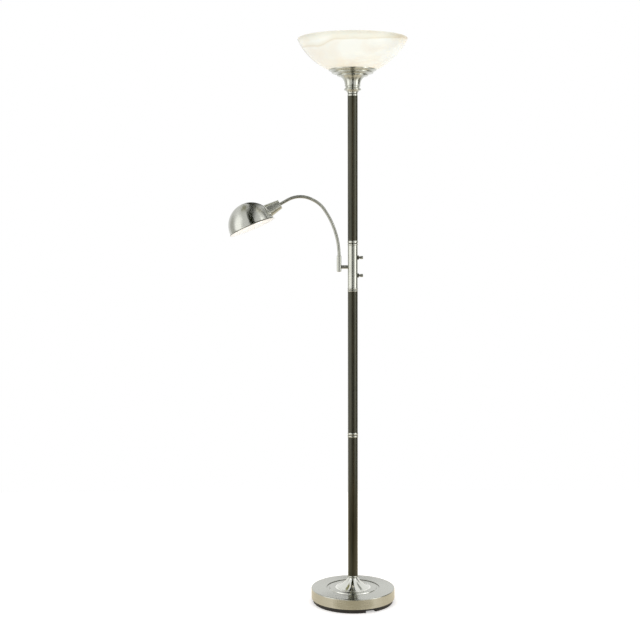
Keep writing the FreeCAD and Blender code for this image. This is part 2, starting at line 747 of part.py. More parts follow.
def build_arm_holder():
    offset = size("sleeve_offset")
    sleeve_edge = size("sleeve_radius")
    liner = size("neck_radius") + size("run_gap") + 0.95
    bore = pipe_fit(liner)
    tail = size("stub_tail")
    cap_low = STUB_UP - size("sleeve_below")
    cap_height = Size.of(3.4)
    cap_top = cap_low + cap_height
    height = SLEEVE_TOP - cap_top

    sleeve = new_body("arm_sleeve", at=(-offset, 0, cap_top))
    turned(sleeve, [
        (bore, 0), (sleeve_edge, 0), (sleeve_edge, height - 0.5), (sleeve_edge - 0.5, height), (bore, height),
    ])
    cut(sleeve, circle(new_sketch(sleeve, "YZ_Plane"), pipe_fit(tail), 0, STUB_UP - cap_top),
        sleeve_edge + 1)
    screw_radius = 1.5
    screw_up = STUB_UP + size("screw_above")
    # the back of the sleeve carries the friction screw
    cut(sleeve, circle(new_sketch(sleeve, "XZ_Plane"), pipe_fit(Size.of(screw_radius)),
                       0, screw_up - cap_top), sleeve_edge + 1, forward=False)

    cap = new_body("sleeve_cap", at=(-offset, 0, cap_low))
    turned(cap, [
        (0, 0), (sleeve_edge - 2.6, 0, 3), (sleeve_edge, 2.6), (sleeve_edge, cap_height),
        (bore - size("fit_gap"), cap_height), (bore - size("fit_gap"), cap_height + 4), (0, cap_height + 4),
    ])

    liner_low = STUB_UP + tail + 2
    liner_bore = size("neck_radius") + size("run_gap")
    bush = new_body("swivel_bush", at=(-offset, 0, liner_low))
    padded(bush, circle(circle(new_sketch(bush, "XY_Plane"), liner), liner_bore),
           SLEEVE_TOP - liner_low)
    cut(bush, circle(new_sketch(bush, "XZ_Plane"), pipe_fit(Size.of(screw_radius)),
                     0, screw_up - liner_low), sleeve_edge + 1, forward=False)
    screw = new_body("swivel_screw", at=(-offset, size("neck_radius") + 0.2, screw_up),
                     turn=Rotation(Vector(1, 0, 0), -90))
    padded(screw, circle(new_sketch(screw, "XY_Plane"), screw_radius),
           sleeve_edge - size("neck_radius"))

    sleeve_face = -(offset - sleeve_edge) + size("fit_gap")
    tube_face = -(size("tube_radius") + size("seat_gap"))
    start = -(offset - bore)
    stub = new_body("arm_stub", at=(start, 0, STUB_UP), turn=ALONG_X)
    turned(stub, [
        (size("stub_bore"), 0), (tail, 0), (tail, sleeve_face - start),
        (size("stub_radius"), sleeve_face - start), (size("stub_radius"), tube_face - start),
        (tail, tube_face - start), (tail, tube_face - start + 9),
        (size("stub_bore"), tube_face - start + 9),
    ])
    nut_thick = 3.6
    hex_nut("stub_nut", tail * 2.4, pipe_fit(tail), nut_thick,
            (-(size("tube_radius") - size("tube_wall") - 1.5), 0, STUB_UP), ALONG_X)


# ---------------------------------------------------------------- gooseneck

def gooseneck_part(label, start, aim, lead, curve, turn, tail=0.0, socket=True, ball=True):
    """One length of the gooseneck, from its joint's centre to the next one.

    It starts along its own +Z axis and bends towards its own -X. A socket is
    the hollow that rides on the last length's ball. Returns the end point and
    the direction there, in degrees from +Z towards -X.
    """
    rotation = Rotation(Vector(0, 1, 0), -aim)
    body = new_body(label, at=(start.x, start.y, start.z), turn=rotation)
    radius = size("neck_radius")
    angle = math.radians(turn.number)
    lead = Size.of(lead)
    tail = Size.of(tail)
    begin = size("ball_open") if socket else Size.of(0)
    bend_across = -(curve - curve * Size(math.cos(angle), f"cos({turn.formula} * 1 deg)"))
    bend_up = lead + curve * Size(math.sin(angle), f"sin({turn.formula} * 1 deg)")
    corners = [(0, begin), (0, lead, curve)]
    if tail.number:
        corners.append((bend_across, bend_up))
        end_across = bend_across - tail * Size(math.sin(angle), f"sin({turn.formula} * 1 deg)")
        end_up = bend_up + tail * Size(math.cos(angle), f"cos({turn.formula} * 1 deg)")
    else:
        end_across, end_up = bend_across, bend_up
    corners.append((end_across, end_up))
    spine = draw(new_sketch(body, "XZ_Plane"), corners, closed=False)
    profile = circle(new_sketch(body, "XY_Plane", begin), radius)
    pipe = body.newObject("PartDesign::AdditivePipe", "Neck")
    pipe.Profile = profile
    pipe.Spine = (spine, [])
    body.Tip = pipe
    if ball:
        sphere = body.newObject("PartDesign::AdditiveSphere", "Ball")
        bind(sphere, "Radius", radius)
        sphere.Placement = Placement(Vector(end_across.number, 0, end_up.number), Rotation())
        sphere.setExpression("Placement.Base.x", end_across.formula)
        sphere.setExpression("Placement.Base.z", end_up.formula)
        body.Tip = sphere
    if socket:
        hollow = body.newObject("PartDesign::SubtractiveSphere", "Socket")
        bind(hollow, "Radius", radius + size("fit_gap"))
        body.Tip = hollow
    end = rotation.multVec(Vector(end_across.number, 0, end_up.number)) + start
    return end, aim + turn.number


def build_gooseneck():
    """Four lengths; the balls between them are the joints' centres."""
    first_lead = size("neck_inside") + size("seat_gap")
    start = Vector(-size("sleeve_offset").number, 0, (SLEEVE_TOP - size("neck_inside")).number)
    joints = []
    low_curve, low_turn = size("curve_low"), size("turn_low")
    lead = size("ball_lead")
    spot, aim = gooseneck_part("gooseneck_root", start, 0.0, first_lead, low_curve, low_turn,
                               socket=False)
    joints.append(spot)
    spot, aim = gooseneck_part("gooseneck_lower", spot, aim, lead, low_curve, low_turn)
    joints.append(spot)
    spot, aim = gooseneck_part("gooseneck_upper", spot, aim, lead, size("curve_high"), size("turn_high"))
    joints.append(spot)
    tail = size("tip_straight") + size("tip_inside")
    spot, aim = gooseneck_part("gooseneck_tip", spot, aim, lead, size("curve_tip"), size("turn_tip"),
                               tail=tail, ball=False)
    along = Rotation(Vector(0, 1, 0), -aim).multVec(Vector(0, 0, 1))
    cup_spot = spot - along * size("tip_inside").number
    return cup_spot, aim, joints


# ---------------------------------------------------------------- reading head

def bulb_corners(low, neck, radius, wall=0.8):
    """Outline of a thin glass bulb, open where it sits on its screw cap."""
    height = root(radius * radius - neck * neck)
    centre = low + 8 + height
    inner_radius, inner_neck = radius - wall, neck - wall
    inner_height = root(inner_radius * inner_radius - inner_neck * inner_neck)
    return [
        (neck, low),
        (neck, centre - height, radius),
        (radius, centre, radius),
        (0, centre + radius),
        (0, centre + inner_radius, -inner_radius),
        (inner_radius, centre, -inner_radius),
        (inner_neck, centre - inner_height),
        (inner_neck, low),
    ]


def cap_corners(low, high, radius):
    """Outline of a bulb's screw cap with its contact at the foot."""
    return [
        (0, low), (radius * 0.35, low), (radius * 0.45, low + 1.5), (radius * 0.85, low + 4),
        (radius, low + 5), (radius, high), (0, high),
    ]


def holder_corners(foot, low, high, floor, edge, mouth, hub, hub_bore):
    """Outline of a lamp holder: hub, barrel and the bore for the screw cap."""
    return [
        (hub_bore, foot),
        (hub, foot),
        (hub, low),
        (edge - 1, low),
        (edge, low + 1),
        (edge, high - 1),
        (edge - 1, high),
        (mouth, high),
        (mouth, floor),
        (hub_bore + 1, floor),
        (hub_bore + 1, floor - 3),
        (hub_bore, floor - 3),
    ]


def build_reading_head(spot, aim):
    along, wall = size("cup_length"), size("cup_wall")
    small, large = size("cup_small"), size("cup_large")
    neck = size("neck_radius")
    turn = Rotation(Vector(0, 1, 0), -aim)
    base = Placement(spot, turn)
    dome_centre = Vector(-size("dome_aside").number, 0, size("dome_along").number)
    outside = size("dome_radius") + size("seat_gap")

    def hollow_ball(body, radius, across, up):
        ball = body.newObject("PartDesign::SubtractiveSphere", "Saddle")
        bind(ball, "Radius", radius)
        ball.Placement = Placement(Vector(across.number, 0, up.number), Rotation())
        ball.setExpression("Placement.Base.x", across.formula)
        ball.setExpression("Placement.Base.z", up.formula)
        body.Tip = ball

    place_at = (spot.x, spot.y, spot.z)
    cup = new_body("socket_cup", at=place_at, turn=turn)
    waist = along * 0.49
    waist_radius = small + (large - small) * 0.46
    turned(cup, [
        (pipe_fit(neck), 0),
        (small - 1.2, 0),
        (small, 1.2),
        (waist_radius, waist - 0.8),
        (waist_radius - 0.6, waist),
        (waist_radius + 0.4, waist + 0.8),
        (large + 1, along + 6),
        (large + 1 - wall, along + 6),
        (waist_radius - wall, waist),
        (small - wall, 2),
        (pipe_fit(neck), 2),
    ])
    hollow_ball(cup, outside + size("saddle_thick") + size("fit_gap"),
                -size("dome_aside"), size("dome_along"))

    nut = hex_nut("gooseneck_nut", neck * 3, pipe_fit(neck), 3.6, place_at, turn)
    nut.Placement = base.multiply(Placement(Vector(0, 0, 2.2), Rotation()))

    # the ring seats on the dome, square to the line from the dome's centre
    aside = size("dome_aside").number
    reach = size("dome_along").number - math.sqrt(
        outside.number ** 2 - size("dome_aside").number ** 2)
    lean = math.degrees(math.atan2(aside, size("dome_along").number - reach))
    ring = new_body("cup_ring")
    ring.Placement = base.multiply(Placement(dome_centre, Rotation(Vector(0, 1, 0), 180 - lean)))
    inner, outer = size("cup_small") + 3.2, size("saddle_radius")
    thick = size("saddle_thick")
    crown = outside + thick
    turned(ring, [
        (inner, root(outside * outside - inner * inner)),
        (inner, root(crown * crown - inner * inner), -crown),
        (outer - 0.5, root(crown * crown - outer * outer)),
        (outer, root(crown * crown - outer * outer) - 0.5),
        (outer, root(outside * outside - outer * outer), outside),
    ])

    # the shade's own frame: origin in the middle of its mouth
    radius, sheet_thick, skirt = size("dome_radius"), size("dome_gauge"), size("dome_skirt")
    edge, rise = radius + size("dome_flare"), size("flare_height")
    shade = new_body("reading_shade")
    dome_at = base.multVec(dome_centre)
    shade_turn = Rotation(Vector(0, 1, 0), -size("dome_tilt").number) * Rotation(
        Vector(1, 0, 0), -size("dome_roll").number)
    mouth = dome_at - shade_turn.multVec(Vector(0, 0, skirt.number))
    shade.Placement = Placement(mouth, shade_turn)
    inside = radius - sheet_thick
    lip_curve = rise * 1.2
    turned(shade, [
        (edge - sheet_thick, 0),
        (edge, 0),
        (edge, sheet_thick, -lip_curve),
        (radius, rise),
        (radius, skirt, radius),
        (0, skirt + radius),
        (0, skirt + inside, -inside),
        (inside, skirt),
        (inside, rise, lip_curve + sheet_thick),
    ])
    tool = shade.newObject("PartDesign::SubtractiveCylinder", "CupHole")
    bind(tool, "Radius", size("lamp_holder") + 0.7)
    bind(tool, "Height", size("dome_along"))
    tool.Placement = shade.Placement.inverse().multiply(base)
    shade.Tip = tool

    holder_top = along + 15
    mouth_radius = size("bulb_cap") + 0.4
    holder = new_body("reading_socket", at=place_at, turn=turn)
    holder_floor = along - 9
    turned(holder, holder_corners(6, waist + 4, holder_top, holder_floor, size("lamp_holder"),
                                  mouth_radius, neck + 4, pipe_fit(neck)))
    cap = new_body("reading_bulb_cap", at=place_at, turn=turn)
    turned(cap, cap_corners(holder_floor + 0.2, holder_top + 2, size("bulb_cap")))
    glass = new_body("reading_bulb", at=place_at, turn=turn)
    turned(glass, bulb_corners(holder_top + 2, size("bulb_cap") - 0.4, size("small_bulb")))


# ---------------------------------------------------------------- torchiere head

def build_top():
    bore = pipe_fit(size("rod_radius"))
    edge = size("pole_radius")
    ring_height = size("base_ring") + 0.5
    ring = new_body("neck_ring", at=(0, 0, NECK_LOW))
    turned(ring, [
        (bore, 0), (edge - 0.6, 0), (edge + 0.3, 0.8), (edge + 0.3, ring_height - 1.6),
        (edge - 0.8, ring_height), (bore, ring_height),
    ])

    vase_low = NECK_LOW + ring_height
    bulge, high = size("vase_bulge"), size("vase_height")
    vase = new_body("neck_vase", at=(0, 0, vase_low))
    turned(vase, [
        (bore, 0),
        (edge - 0.6, 0),
        (edge, high * 0.1, -12),
        (bulge - 2.2, high * 0.49, high * 0.122),
        (bulge - 2.2, high * 0.71),
        (bulge - 4.6, high * 0.76),
        (bulge - 5.2, high),
        (bore, high),
    ])

    trumpet_low = vase_low + high
    thick = size("gauge") * 1.5
    throat, curve = size("throat_radius"), size("trumpet_curve")
    rise = size("trumpet_height")
    waist = rise * 0.13
    trumpet = new_body("trumpet", at=(0, 0, trumpet_low))
    mouth = throat + curve * 0.683
    turned(trumpet, [
        (bore, 0),
        (throat + 0.7, 0),
        (throat, waist, -curve),
        (mouth, rise - thick * 0.2),
        (size("trumpet_rim"), rise - thick * 0.2),
        (size("trumpet_rim"), rise),
        (mouth - 3.5, rise, curve + thick * 2),
        (throat - thick, waist),
        (throat + 0.7 - thick, thick),
        (bore, thick),
    ])
    hex_nut("trumpet_nut", size("rod_radius") * 3.4, bore, 4.6, (0, 0, trumpet_low + thick))

    holder_low = trumpet_low + rise
    one, two, three = size("step_one"), size("step_two"), size("step_three")
    ball_low, curve = size("bowl_lift"), size("bowl_curve")

    def under(across):
        """Height of the bowl's outside over the holder's underside."""
        return ball_low + bowl_rise(curve, across)

    tall = under(three) - size("seat_gap")
    sheet_thick = size("gauge") * 1.5
    holder = new_body("shade_holder", at=(0, 0, holder_low))
    turned(holder, [
        (bore, 0),
        (one - 1.2, 0, 1.5),
        (one, 1.4),
        (one, tall * 0.14),
        (one - 3, tall * 0.2, -10),
        (two - 9, tall * 0.41),
        (two - 1, tall * 0.41, 1.2),
        (two, tall * 0.48),
        (two, tall * 0.56),
        (two - 2, tall * 0.6, -9),
        (three - 5, tall * 0.84),
        (three - 1, tall * 0.84, 1.2),
        (three, tall * 0.9),
        (three, tall),
        (three - sheet_thick, under(three - sheet_thick) - size("seat_gap")),
        (two + 1.5, under(two + 1.5) - 1.2),
        (two - 4, tall * 0.68),
        (two - 4.5, tall * 0.52),
        (two - 11, tall * 0.5),
        (one - 5.5, tall * 0.28),
        (one - 6, sheet_thick),
        (bore, sheet_thick),
    ])

    deep, wall, hole = size("bowl_depth"), size("bowl_thick"), size("bowl_hole")
    inner_curve = curve - wall

    def over(across):
        """Height of the bowl's inside over the holder's underside."""
        return ball_low + wall + bowl_rise(inner_curve, across)

    rim = root(curve * curve - (curve - deep) * (curve - deep))
    rim_inner = root(inner_curve * inner_curve - (curve - deep) * (curve - deep))
    bowl = new_body("glass_bowl", at=(0, 0, holder_low))
    turned(bowl, [
        (hole, under(hole), curve),
        (rim, ball_low + deep, (rim - rim_inner) * 0.52),
        (rim_inner, ball_low + deep, -inner_curve),
        (hole, over(hole)),
    ])

    seat = new_body("bowl_seat", at=(0, 0, holder_low + sheet_thick))
    seat_edge = size("seat_radius")
    seat_low = sheet_thick + size("fit_gap")
    turned(seat, [
        (hole + 1, 0),
        (seat_edge, 0),
        (seat_edge, under(seat_edge) - seat_low, -curve),
        (hole + 1, under(hole + 1) - seat_low),
    ])

    socket_low = holder_low + sheet_thick
    holder_top = 38
    socket_floor = 14
    hub = size("rod_radius") + 6
    socket = new_body("torchiere_socket", at=(0, 0, socket_low))
    turned(socket, holder_corners(0, 4, holder_top, socket_floor, size("lamp_holder") + 2.4,
                                  size("bulb_cap") + 0.4, hub, bore))
    clamp_edge = size("clamp_radius")
    clamp_inner = size("lamp_holder") + 2.4 + size("fit_gap")
    clamp = new_body("bowl_clamp", at=(0, 0, holder_low))
    clamp_low = over(clamp_edge) + size("fit_gap")
    turned(clamp, [
        (clamp_inner, clamp_low),
        (clamp_edge, clamp_low),
        (clamp_edge, clamp_low + 2),
        (clamp_edge - 2, clamp_low + 5),
        (clamp_inner, clamp_low + 5),
    ])
    nipple_low = NECK_LOW - size("insert_length") + 3
    build_nipple("top_nipple", nipple_low, socket_low + socket_floor - 4 - nipple_low)
    cap = new_body("torchiere_bulb_cap", at=(0, 0, socket_low))
    cap_top = holder_top + 2
    turned(cap, cap_corners(Size.of(socket_floor + 0.2), Size.of(cap_top), size("bulb_cap")))
    glass = new_body("torchiere_bulb", at=(0, 0, socket_low))
    turned(glass, bulb_corners(Size.of(cap_top), size("bulb_cap") - 0.4, size("large_bulb")))


# ---------------------------------------------------------------- assembly and export

build_foot()
build_weight()
build_cover()
build_poles()
build_switch_tube()
build_switch("upper", SWITCH_HIGH)
build_switch("lower", SWITCH_LOW)
build_arm_holder()
cup_spot, cup_aim, neck_joints = build_gooseneck()
build_reading_head(cup_spot, cup_aim)
build_top()
doc.recompute()

faults = [thing.Name for thing in doc.Objects if {"Invalid", "Error"} & set(thing.State)]
for node in NODES:
    shape = node.Shape
    if shape.isNull() or not shape.isValid() or not shape.Solids:
        faults.append(node.Label)
if faults:
    raise RuntimeError("failed: " + ", ".join(faults))

os.makedirs("parts", exist_ok=True)
for node in NODES:
    node.Shape.exportStep(f"parts/{node.Label}.step")
for number, joint in enumerate(neck_joints, start=1):
    print(f"gooseneck joint {number}: x {joint.x:.3f}  z {joint.z:.3f}")
print(f"cup: x {cup_spot.x:.3f}  z {cup_spot.z:.3f}  aim {cup_aim:.2f}")
print(f"{len(NODES)} pieces")
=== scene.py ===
import json
import math

import bmesh
import bpy
from mathutils import Matrix, Vector


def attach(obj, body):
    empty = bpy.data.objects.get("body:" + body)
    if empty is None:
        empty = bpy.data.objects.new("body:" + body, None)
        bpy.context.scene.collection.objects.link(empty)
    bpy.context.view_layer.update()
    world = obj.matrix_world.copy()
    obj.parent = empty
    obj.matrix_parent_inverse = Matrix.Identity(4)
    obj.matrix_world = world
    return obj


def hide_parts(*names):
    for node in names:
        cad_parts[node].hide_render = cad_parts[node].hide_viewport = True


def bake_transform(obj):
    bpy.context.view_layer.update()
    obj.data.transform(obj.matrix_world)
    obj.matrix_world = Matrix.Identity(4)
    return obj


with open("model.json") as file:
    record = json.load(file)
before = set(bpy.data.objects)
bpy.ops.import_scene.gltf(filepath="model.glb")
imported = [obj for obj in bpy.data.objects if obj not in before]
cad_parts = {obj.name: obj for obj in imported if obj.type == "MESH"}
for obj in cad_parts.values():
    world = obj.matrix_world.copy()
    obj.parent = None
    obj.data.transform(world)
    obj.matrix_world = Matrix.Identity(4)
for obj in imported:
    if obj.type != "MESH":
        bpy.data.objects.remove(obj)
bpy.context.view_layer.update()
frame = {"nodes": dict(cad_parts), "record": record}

mm = 0.001
print("frame loaded")

# camera: the photograph's height, tilt and distance

camera = {
    "spot": (-0.1039, -3.8453, 1.2284),     # metres
    "tiltDown": 4.607, "roll": 0.164,       # degrees
    "lens": 67.89, "sensor": 36,            # mm
    "farthest": 60,                         # metres
}


def buildCamera():
    data = bpy.data.cameras.new("photoCamera")
    data.lens = camera["lens"]
    data.sensor_width = camera["sensor"]
    data.clip_end = camera["farthest"]
    rig = bpy.data.objects.new("photoCamera", data)
    rig.location = camera["spot"]
    rig.rotation_euler = (math.radians(90 - camera["tiltDown"]), math.radians(camera["roll"]), 0)
    bpy.context.collection.objects.link(rig)
    bpy.context.scene.camera = rig


buildCamera()
print("camera set")

# helpers for materials


def linear(hexColour):
    channels = [int(hexColour[i:i + 2], 16) / 255 for i in (0, 2, 4)]
    return [c / 12.92 if c <= 0.04045 else ((c + 0.055) / 1.055) ** 2.4 for c in channels] + [1]


def addNode(tree, kind, settings=None, links=None):
    # a setting is one of the node's inputs or properties, or "stops" for the colours of a ramp;
    # a link comes from a socket, or from a node's first output
    node = tree.nodes.new(kind)
    for word, value in (settings or {}).items():
        if word == "stops":
            marks = node.color_ramp.elements
            while len(marks) < len(value):
                marks.new(0.5)
            for mark, (place, hexColour) in zip(marks, value):
                mark.position = place
                mark.color = linear(hexColour)
        elif isinstance(word, int) or word in node.inputs:
            node.inputs[word].default_value = value
        else:
            setattr(node, word, value)
    for word, source in (links or {}).items():
        tree.links.new(source.outputs[0] if hasattr(source, "outputs") else source, node.inputs[word])
    return node


def emptyTree(owner):
    owner.use_nodes = True
    owner.node_tree.nodes.clear()
    return owner.node_tree


def startMaterial(name):
    # patterns are laid out on the place on the piece, in metres
    material = bpy.data.materials.new(name)
    tree = emptyTree(material)
    return material, tree, addNode(tree, "ShaderNodeTexCoord").outputs["Object"]


def endMaterial(tree, settings, links):
    shader = addNode(tree, "ShaderNodeBsdfPrincipled", settings, links)
    addNode(tree, "ShaderNodeOutputMaterial", None, {"Surface": shader})


multiply = {"data_type": "RGBA", "blend_type": "MULTIPLY", "Factor": 1}     # inputs 6 and 7, output 2

# metals

satin = {
    "colour": "C4C5BB", "shade": "B9BAB0",
    "roughness": 0.245, "anisotropy": 0.94,
    "brushStep": 1.1,       # mm between brush marks; real ones are 0.1 mm, too fine to show
    "brushLong": 25,        # mm along a mark
    "cloudWide": 26.3,      # mm between faint clouds in the plate
}
knobSatin = dict(satin, colour="C0C1B6", shade="A9AA9F", anisotropy=0.8)
spun = {
    "colour": "C2C3BB", "shade": "B2B3AB",
    "roughness": 0.25, "anisotropy": 0.95,
    "grooveStep": 1.6,      # mm between tool marks; real ones are 0.2 mm, too fine to show
    "cloudWide": 55.5,
}
spunBase = dict(spun, colour="BFC0B8", shade="B1B2AA", roughness=0.18)
# painted highlight: the bell takes a brighter copy of the spun nickel
spunBellPaintedHighlight = dict(spun, colour="E0E1DA", shade="D2D3CB", roughness=0.14, anisotropy=0.85)
strip = {
    "colour": "B0B1A7", "shade": "9C9D93",
    "roughness": 0.26, "anisotropy": 0.9,
    "cloudWide": 16.7,
}


def satinNickel(name, look, axis="Z"):
    # steel with nickel plate, brushed round on the lathe: crisp streaks of light along the piece
    material, tree, where = startMaterial(name)
    rough = look["roughness"]
    tangent = addNode(tree, "ShaderNodeTangent", {"direction_type": "RADIAL", "axis": axis})
    scale = [1000 / look["brushStep" if letter == axis else "brushLong"] for letter in "XYZ"]
    stretch = addNode(tree, "ShaderNodeMapping", {"Scale": scale}, {"Vector": where})
    marks = addNode(tree, "ShaderNodeTexNoise", {"Scale": 1, "Detail": 3, "Roughness": 0.6},
                    {"Vector": stretch})
    cloud = addNode(tree, "ShaderNodeTexNoise", {"Scale": 1000 / look["cloudWide"], "Detail": 4},
                    {"Vector": where})
    tone = addNode(tree, "ShaderNodeValToRGB",
                   {"stops": [(0.35, look["shade"]), (0.65, look["colour"])]}, {"Fac": cloud})
    fine = addNode(tree, "ShaderNodeMapRange", {"To Min": -0.015, "To Max": 0.015}, {"Value": marks})
    broad = addNode(tree, "ShaderNodeMapRange", {"To Min": rough - 0.03, "To Max": rough + 0.03},
                    {"Value": cloud})
    both = addNode(tree, "ShaderNodeMath", {"operation": "ADD"}, {0: fine, 1: broad})
    bump = addNode(tree, "ShaderNodeBump", {"Strength": 0.01, "Distance": 0.0001}, {"Height": marks})
    endMaterial(tree, {
        "Base Color": linear(look["colour"]), "Metallic": 1, "Roughness": rough,
        "Anisotropic": look["anisotropy"], "Anisotropic Rotation": 0.25,
    }, {"Tangent": tangent, "Base Color": tone, "Roughness": both, "Normal": bump})
    return material


def spunNickel(name, look):
    # steel spun over a form and brushed while it turns: rings of tool marks and wedges of light
    material, tree, where = startMaterial(name)
    rough = look["roughness"]
    tangent = addNode(tree, "ShaderNodeTangent", {"direction_type": "UV_MAP", "uv_map": "fromEdge"})
    flat = addNode(tree, "ShaderNodeUVMap", {"uv_map": "fromEdge"})
    run = addNode(tree, "ShaderNodeSeparateXYZ", None, {0: flat})
    count = addNode(tree, "ShaderNodeMath", {"operation": "MULTIPLY", 1: 1000 / look["grooveStep"]},
                    {0: run})
    marks = addNode(tree, "ShaderNodeTexNoise",
                    {"noise_dimensions": "1D", "Scale": 1, "Detail": 4, "Roughness": 0.7}, {"W": count})
    cloud = addNode(tree, "ShaderNodeTexNoise", {"Scale": 1000 / look["cloudWide"], "Detail": 5},
                    {"Vector": where})
    tone = addNode(tree, "ShaderNodeValToRGB",
                   {"stops": [(0.3, look["shade"]), (0.7, look["colour"])]}, {"Fac": marks})
    fine = addNode(tree, "ShaderNodeMapRange", {"To Min": -0.04, "To Max": 0.04}, {"Value": marks})
    broad = addNode(tree, "ShaderNodeMapRange", {"To Min": rough - 0.03, "To Max": rough + 0.03},
                    {"Value": cloud})
    both = addNode(tree, "ShaderNodeMath", {"operation": "ADD"}, {0: fine, 1: broad})
    bump = addNode(tree, "ShaderNodeBump", {"Strength": 0.04, "Distance": 0.0002}, {"Height": marks})
    endMaterial(tree, {
        "Base Color": linear(look["colour"]), "Metallic": 1, "Roughness": rough,
        "Anisotropic": look["anisotropy"],
    }, {"Tangent": tangent, "Base Color": tone, "Roughness": both, "Normal": bump})
    return material


def plainMetal(name, colour, shade, roughness, grain):
    # rolled, cast or plated stock: an even grey with cloudy finger marks, grain mm apart
    material, tree, where = startMaterial(name)
    cloud = addNode(tree, "ShaderNodeTexNoise", {"Scale": 1000 / grain, "Detail": 5, "Roughness": 0.6},
                    {"Vector": where})
    tone = addNode(tree, "ShaderNodeValToRGB", {"stops": [(0.3, shade), (0.7, colour)]}, {"Fac": cloud})
    rough = addNode(tree, "ShaderNodeMapRange",
                    {"To Min": roughness - 0.1, "To Max": roughness + 0.12}, {"Value": cloud})
    bump = addNode(tree, "ShaderNodeBump", {"Strength": 0.15, "Distance": 0.0003}, {"Height": cloud})
    endMaterial(tree, {"Base Color": linear(colour), "Metallic": 1, "Roughness": roughness},
                {"Base Color": tone, "Roughness": rough, "Normal": bump})
    return material


def woundStrip():
    # nickel-plated strip wound into a tube: its fine turns draw the light out along the neck
    material, tree, where = startMaterial("woundNickelStrip")
    rough = strip["roughness"]
    tangent = addNode(tree, "ShaderNodeTangent", {"direction_type": "UV_MAP", "uv_map": "alongNeck"})
    cloud = addNode(tree, "ShaderNodeTexNoise", {"Scale": 1000 / strip["cloudWide"], "Detail": 4},
                    {"Vector": where})
    tone = addNode(tree, "ShaderNodeValToRGB",
                   {"stops": [(0.35, strip["shade"]), (0.65, strip["colour"])]}, {"Fac": cloud})
    broad = addNode(tree, "ShaderNodeMapRange", {"To Min": rough - 0.03, "To Max": rough + 0.03},
                    {"Value": cloud})
    endMaterial(tree, {
        "Base Color": linear(strip["colour"]), "Metallic": 1, "Roughness": rough,
        "Anisotropic": strip["anisotropy"],
    }, {"Tangent": tangent, "Base Color": tone, "Roughness": broad})
    return material


# wood, glass, plastics and the rest

walnut = {
    "dark": "1B140A", "warm": "2F2411", "pore": "606060",
    "roughness": 0.3, "coat": 0.5, "coatRoughness": 0.22,
    "sheen": "E8F0CC", "lacquer": "F0F4DC",
    "figureWide": 9, "figureLong": 250,     # mm between bands of grain, and along them
    "poreWide": 1.2, "poreLong": 33.3,      # mm; real pores are 0.3 mm wide, too fine to show
}
alabaster = {
    "cream": "F0ECDE", "milk": "F3F5EB", "vein": "EEE8DE",
    # painted glow: the glass gives off light for its bulb, warm over the holder and fainter at the rim
    "glow": "FAE8BE", "lit": "DCDACE", "rim": "B6B3A9", "light": 0.2,   # light from its bulb
    "roughness": 0.2, "milkiness": 0.3,
    "swirlWide": 60, "swirlFlat": 0.4,                  # mm between swirls, and how far they lie down
    "swirlTurn": (0.2, 0.35, 0),                        # radians
    "bottom": 0.0200, "top": 0.1152, "rimTall": 0.022,  # metres over its foot
    "veinLow": 0.0692, "veinHigh": 0.0917,
    "veinUnder": 0.004, "veinOver": 0.012, "veinWave": 0.005,
    "climbFrom": -0.112, "climbTo": -0.052,             # metres from the axis, where the vein climbs
    "veinBow": 0.75,                                    # its rise, per square metre from the axis
}
bulb = {
    "skin": "FFF8EC", "low": "FFF3E2", "high": "FFF7EA", "light": 0.7,
    "roughness": 0.35,
    "grain": 2.5,           # mm; a real powder coat's is 0.05 mm, too fine to show
}
lining = {
    "skin": "F2F0EA", "dull": "ECEBE7", "clear": "F2F1EE",
    # painted glow for the light of its bulb
    "paintedGlowLow": "FFF9EE", "paintedGlowHigh": "FFFAF2", "light": 0.2,
    "roughness": 0.42,
    "cloudWide": 16.7,
}


def walnutLacquer():
    # dark stained walnut under satin lacquer: nearly black, with a grey sheen down its sides
    material, tree, where = startMaterial("walnutSatinLacquer")
    rough = walnut["roughness"]
    wide, long = 1000 / walnut["figureWide"], 1000 / walnut["figureLong"]
    drawn = addNode(tree, "ShaderNodeMapping", {"Scale": (wide, wide, long)}, {"Vector": where})
    figure = addNode(tree, "ShaderNodeTexNoise", {"Scale": 1, "Detail": 4, "Distortion": 0.6},
                     {"Vector": drawn})
    wide, long = 1000 / walnut["poreWide"], 1000 / walnut["poreLong"]
    fine = addNode(tree, "ShaderNodeMapping", {"Scale": (wide, wide, long)}, {"Vector": where})
    pores = addNode(tree, "ShaderNodeTexNoise", {"Scale": 1, "Detail": 2}, {"Vector": fine})
    band = addNode(tree, "ShaderNodeValToRGB",
                   {"stops": [(0.35, walnut["dark"]), (0.7, walnut["warm"])]}, {"Fac": figure})
    specks = addNode(tree, "ShaderNodeValToRGB",
                     {"stops": [(0.36, walnut["pore"]), (0.46, "FFFFFF")]}, {"Fac": pores})
    tone = addNode(tree, "ShaderNodeMix", multiply, {6: band, 7: specks}).outputs[2]
    gloss = addNode(tree, "ShaderNodeMapRange", {"To Min": rough - 0.06, "To Max": rough + 0.1},
                    {"Value": pores})
    bump = addNode(tree, "ShaderNodeBump", {"Strength": 0.12, "Distance": 0.0002}, {"Height": pores})
    endMaterial(tree, {
        "Base Color": linear(walnut["dark"]), "Roughness": rough, "IOR": 1.5,
        "Specular Tint": linear(walnut["sheen"]),
        "Coat Weight": walnut["coat"], "Coat Roughness": walnut["coatRoughness"],
        "Coat Tint": linear(walnut["lacquer"]),
    }, {"Base Color": tone, "Roughness": gloss, "Normal": bump})
    return material


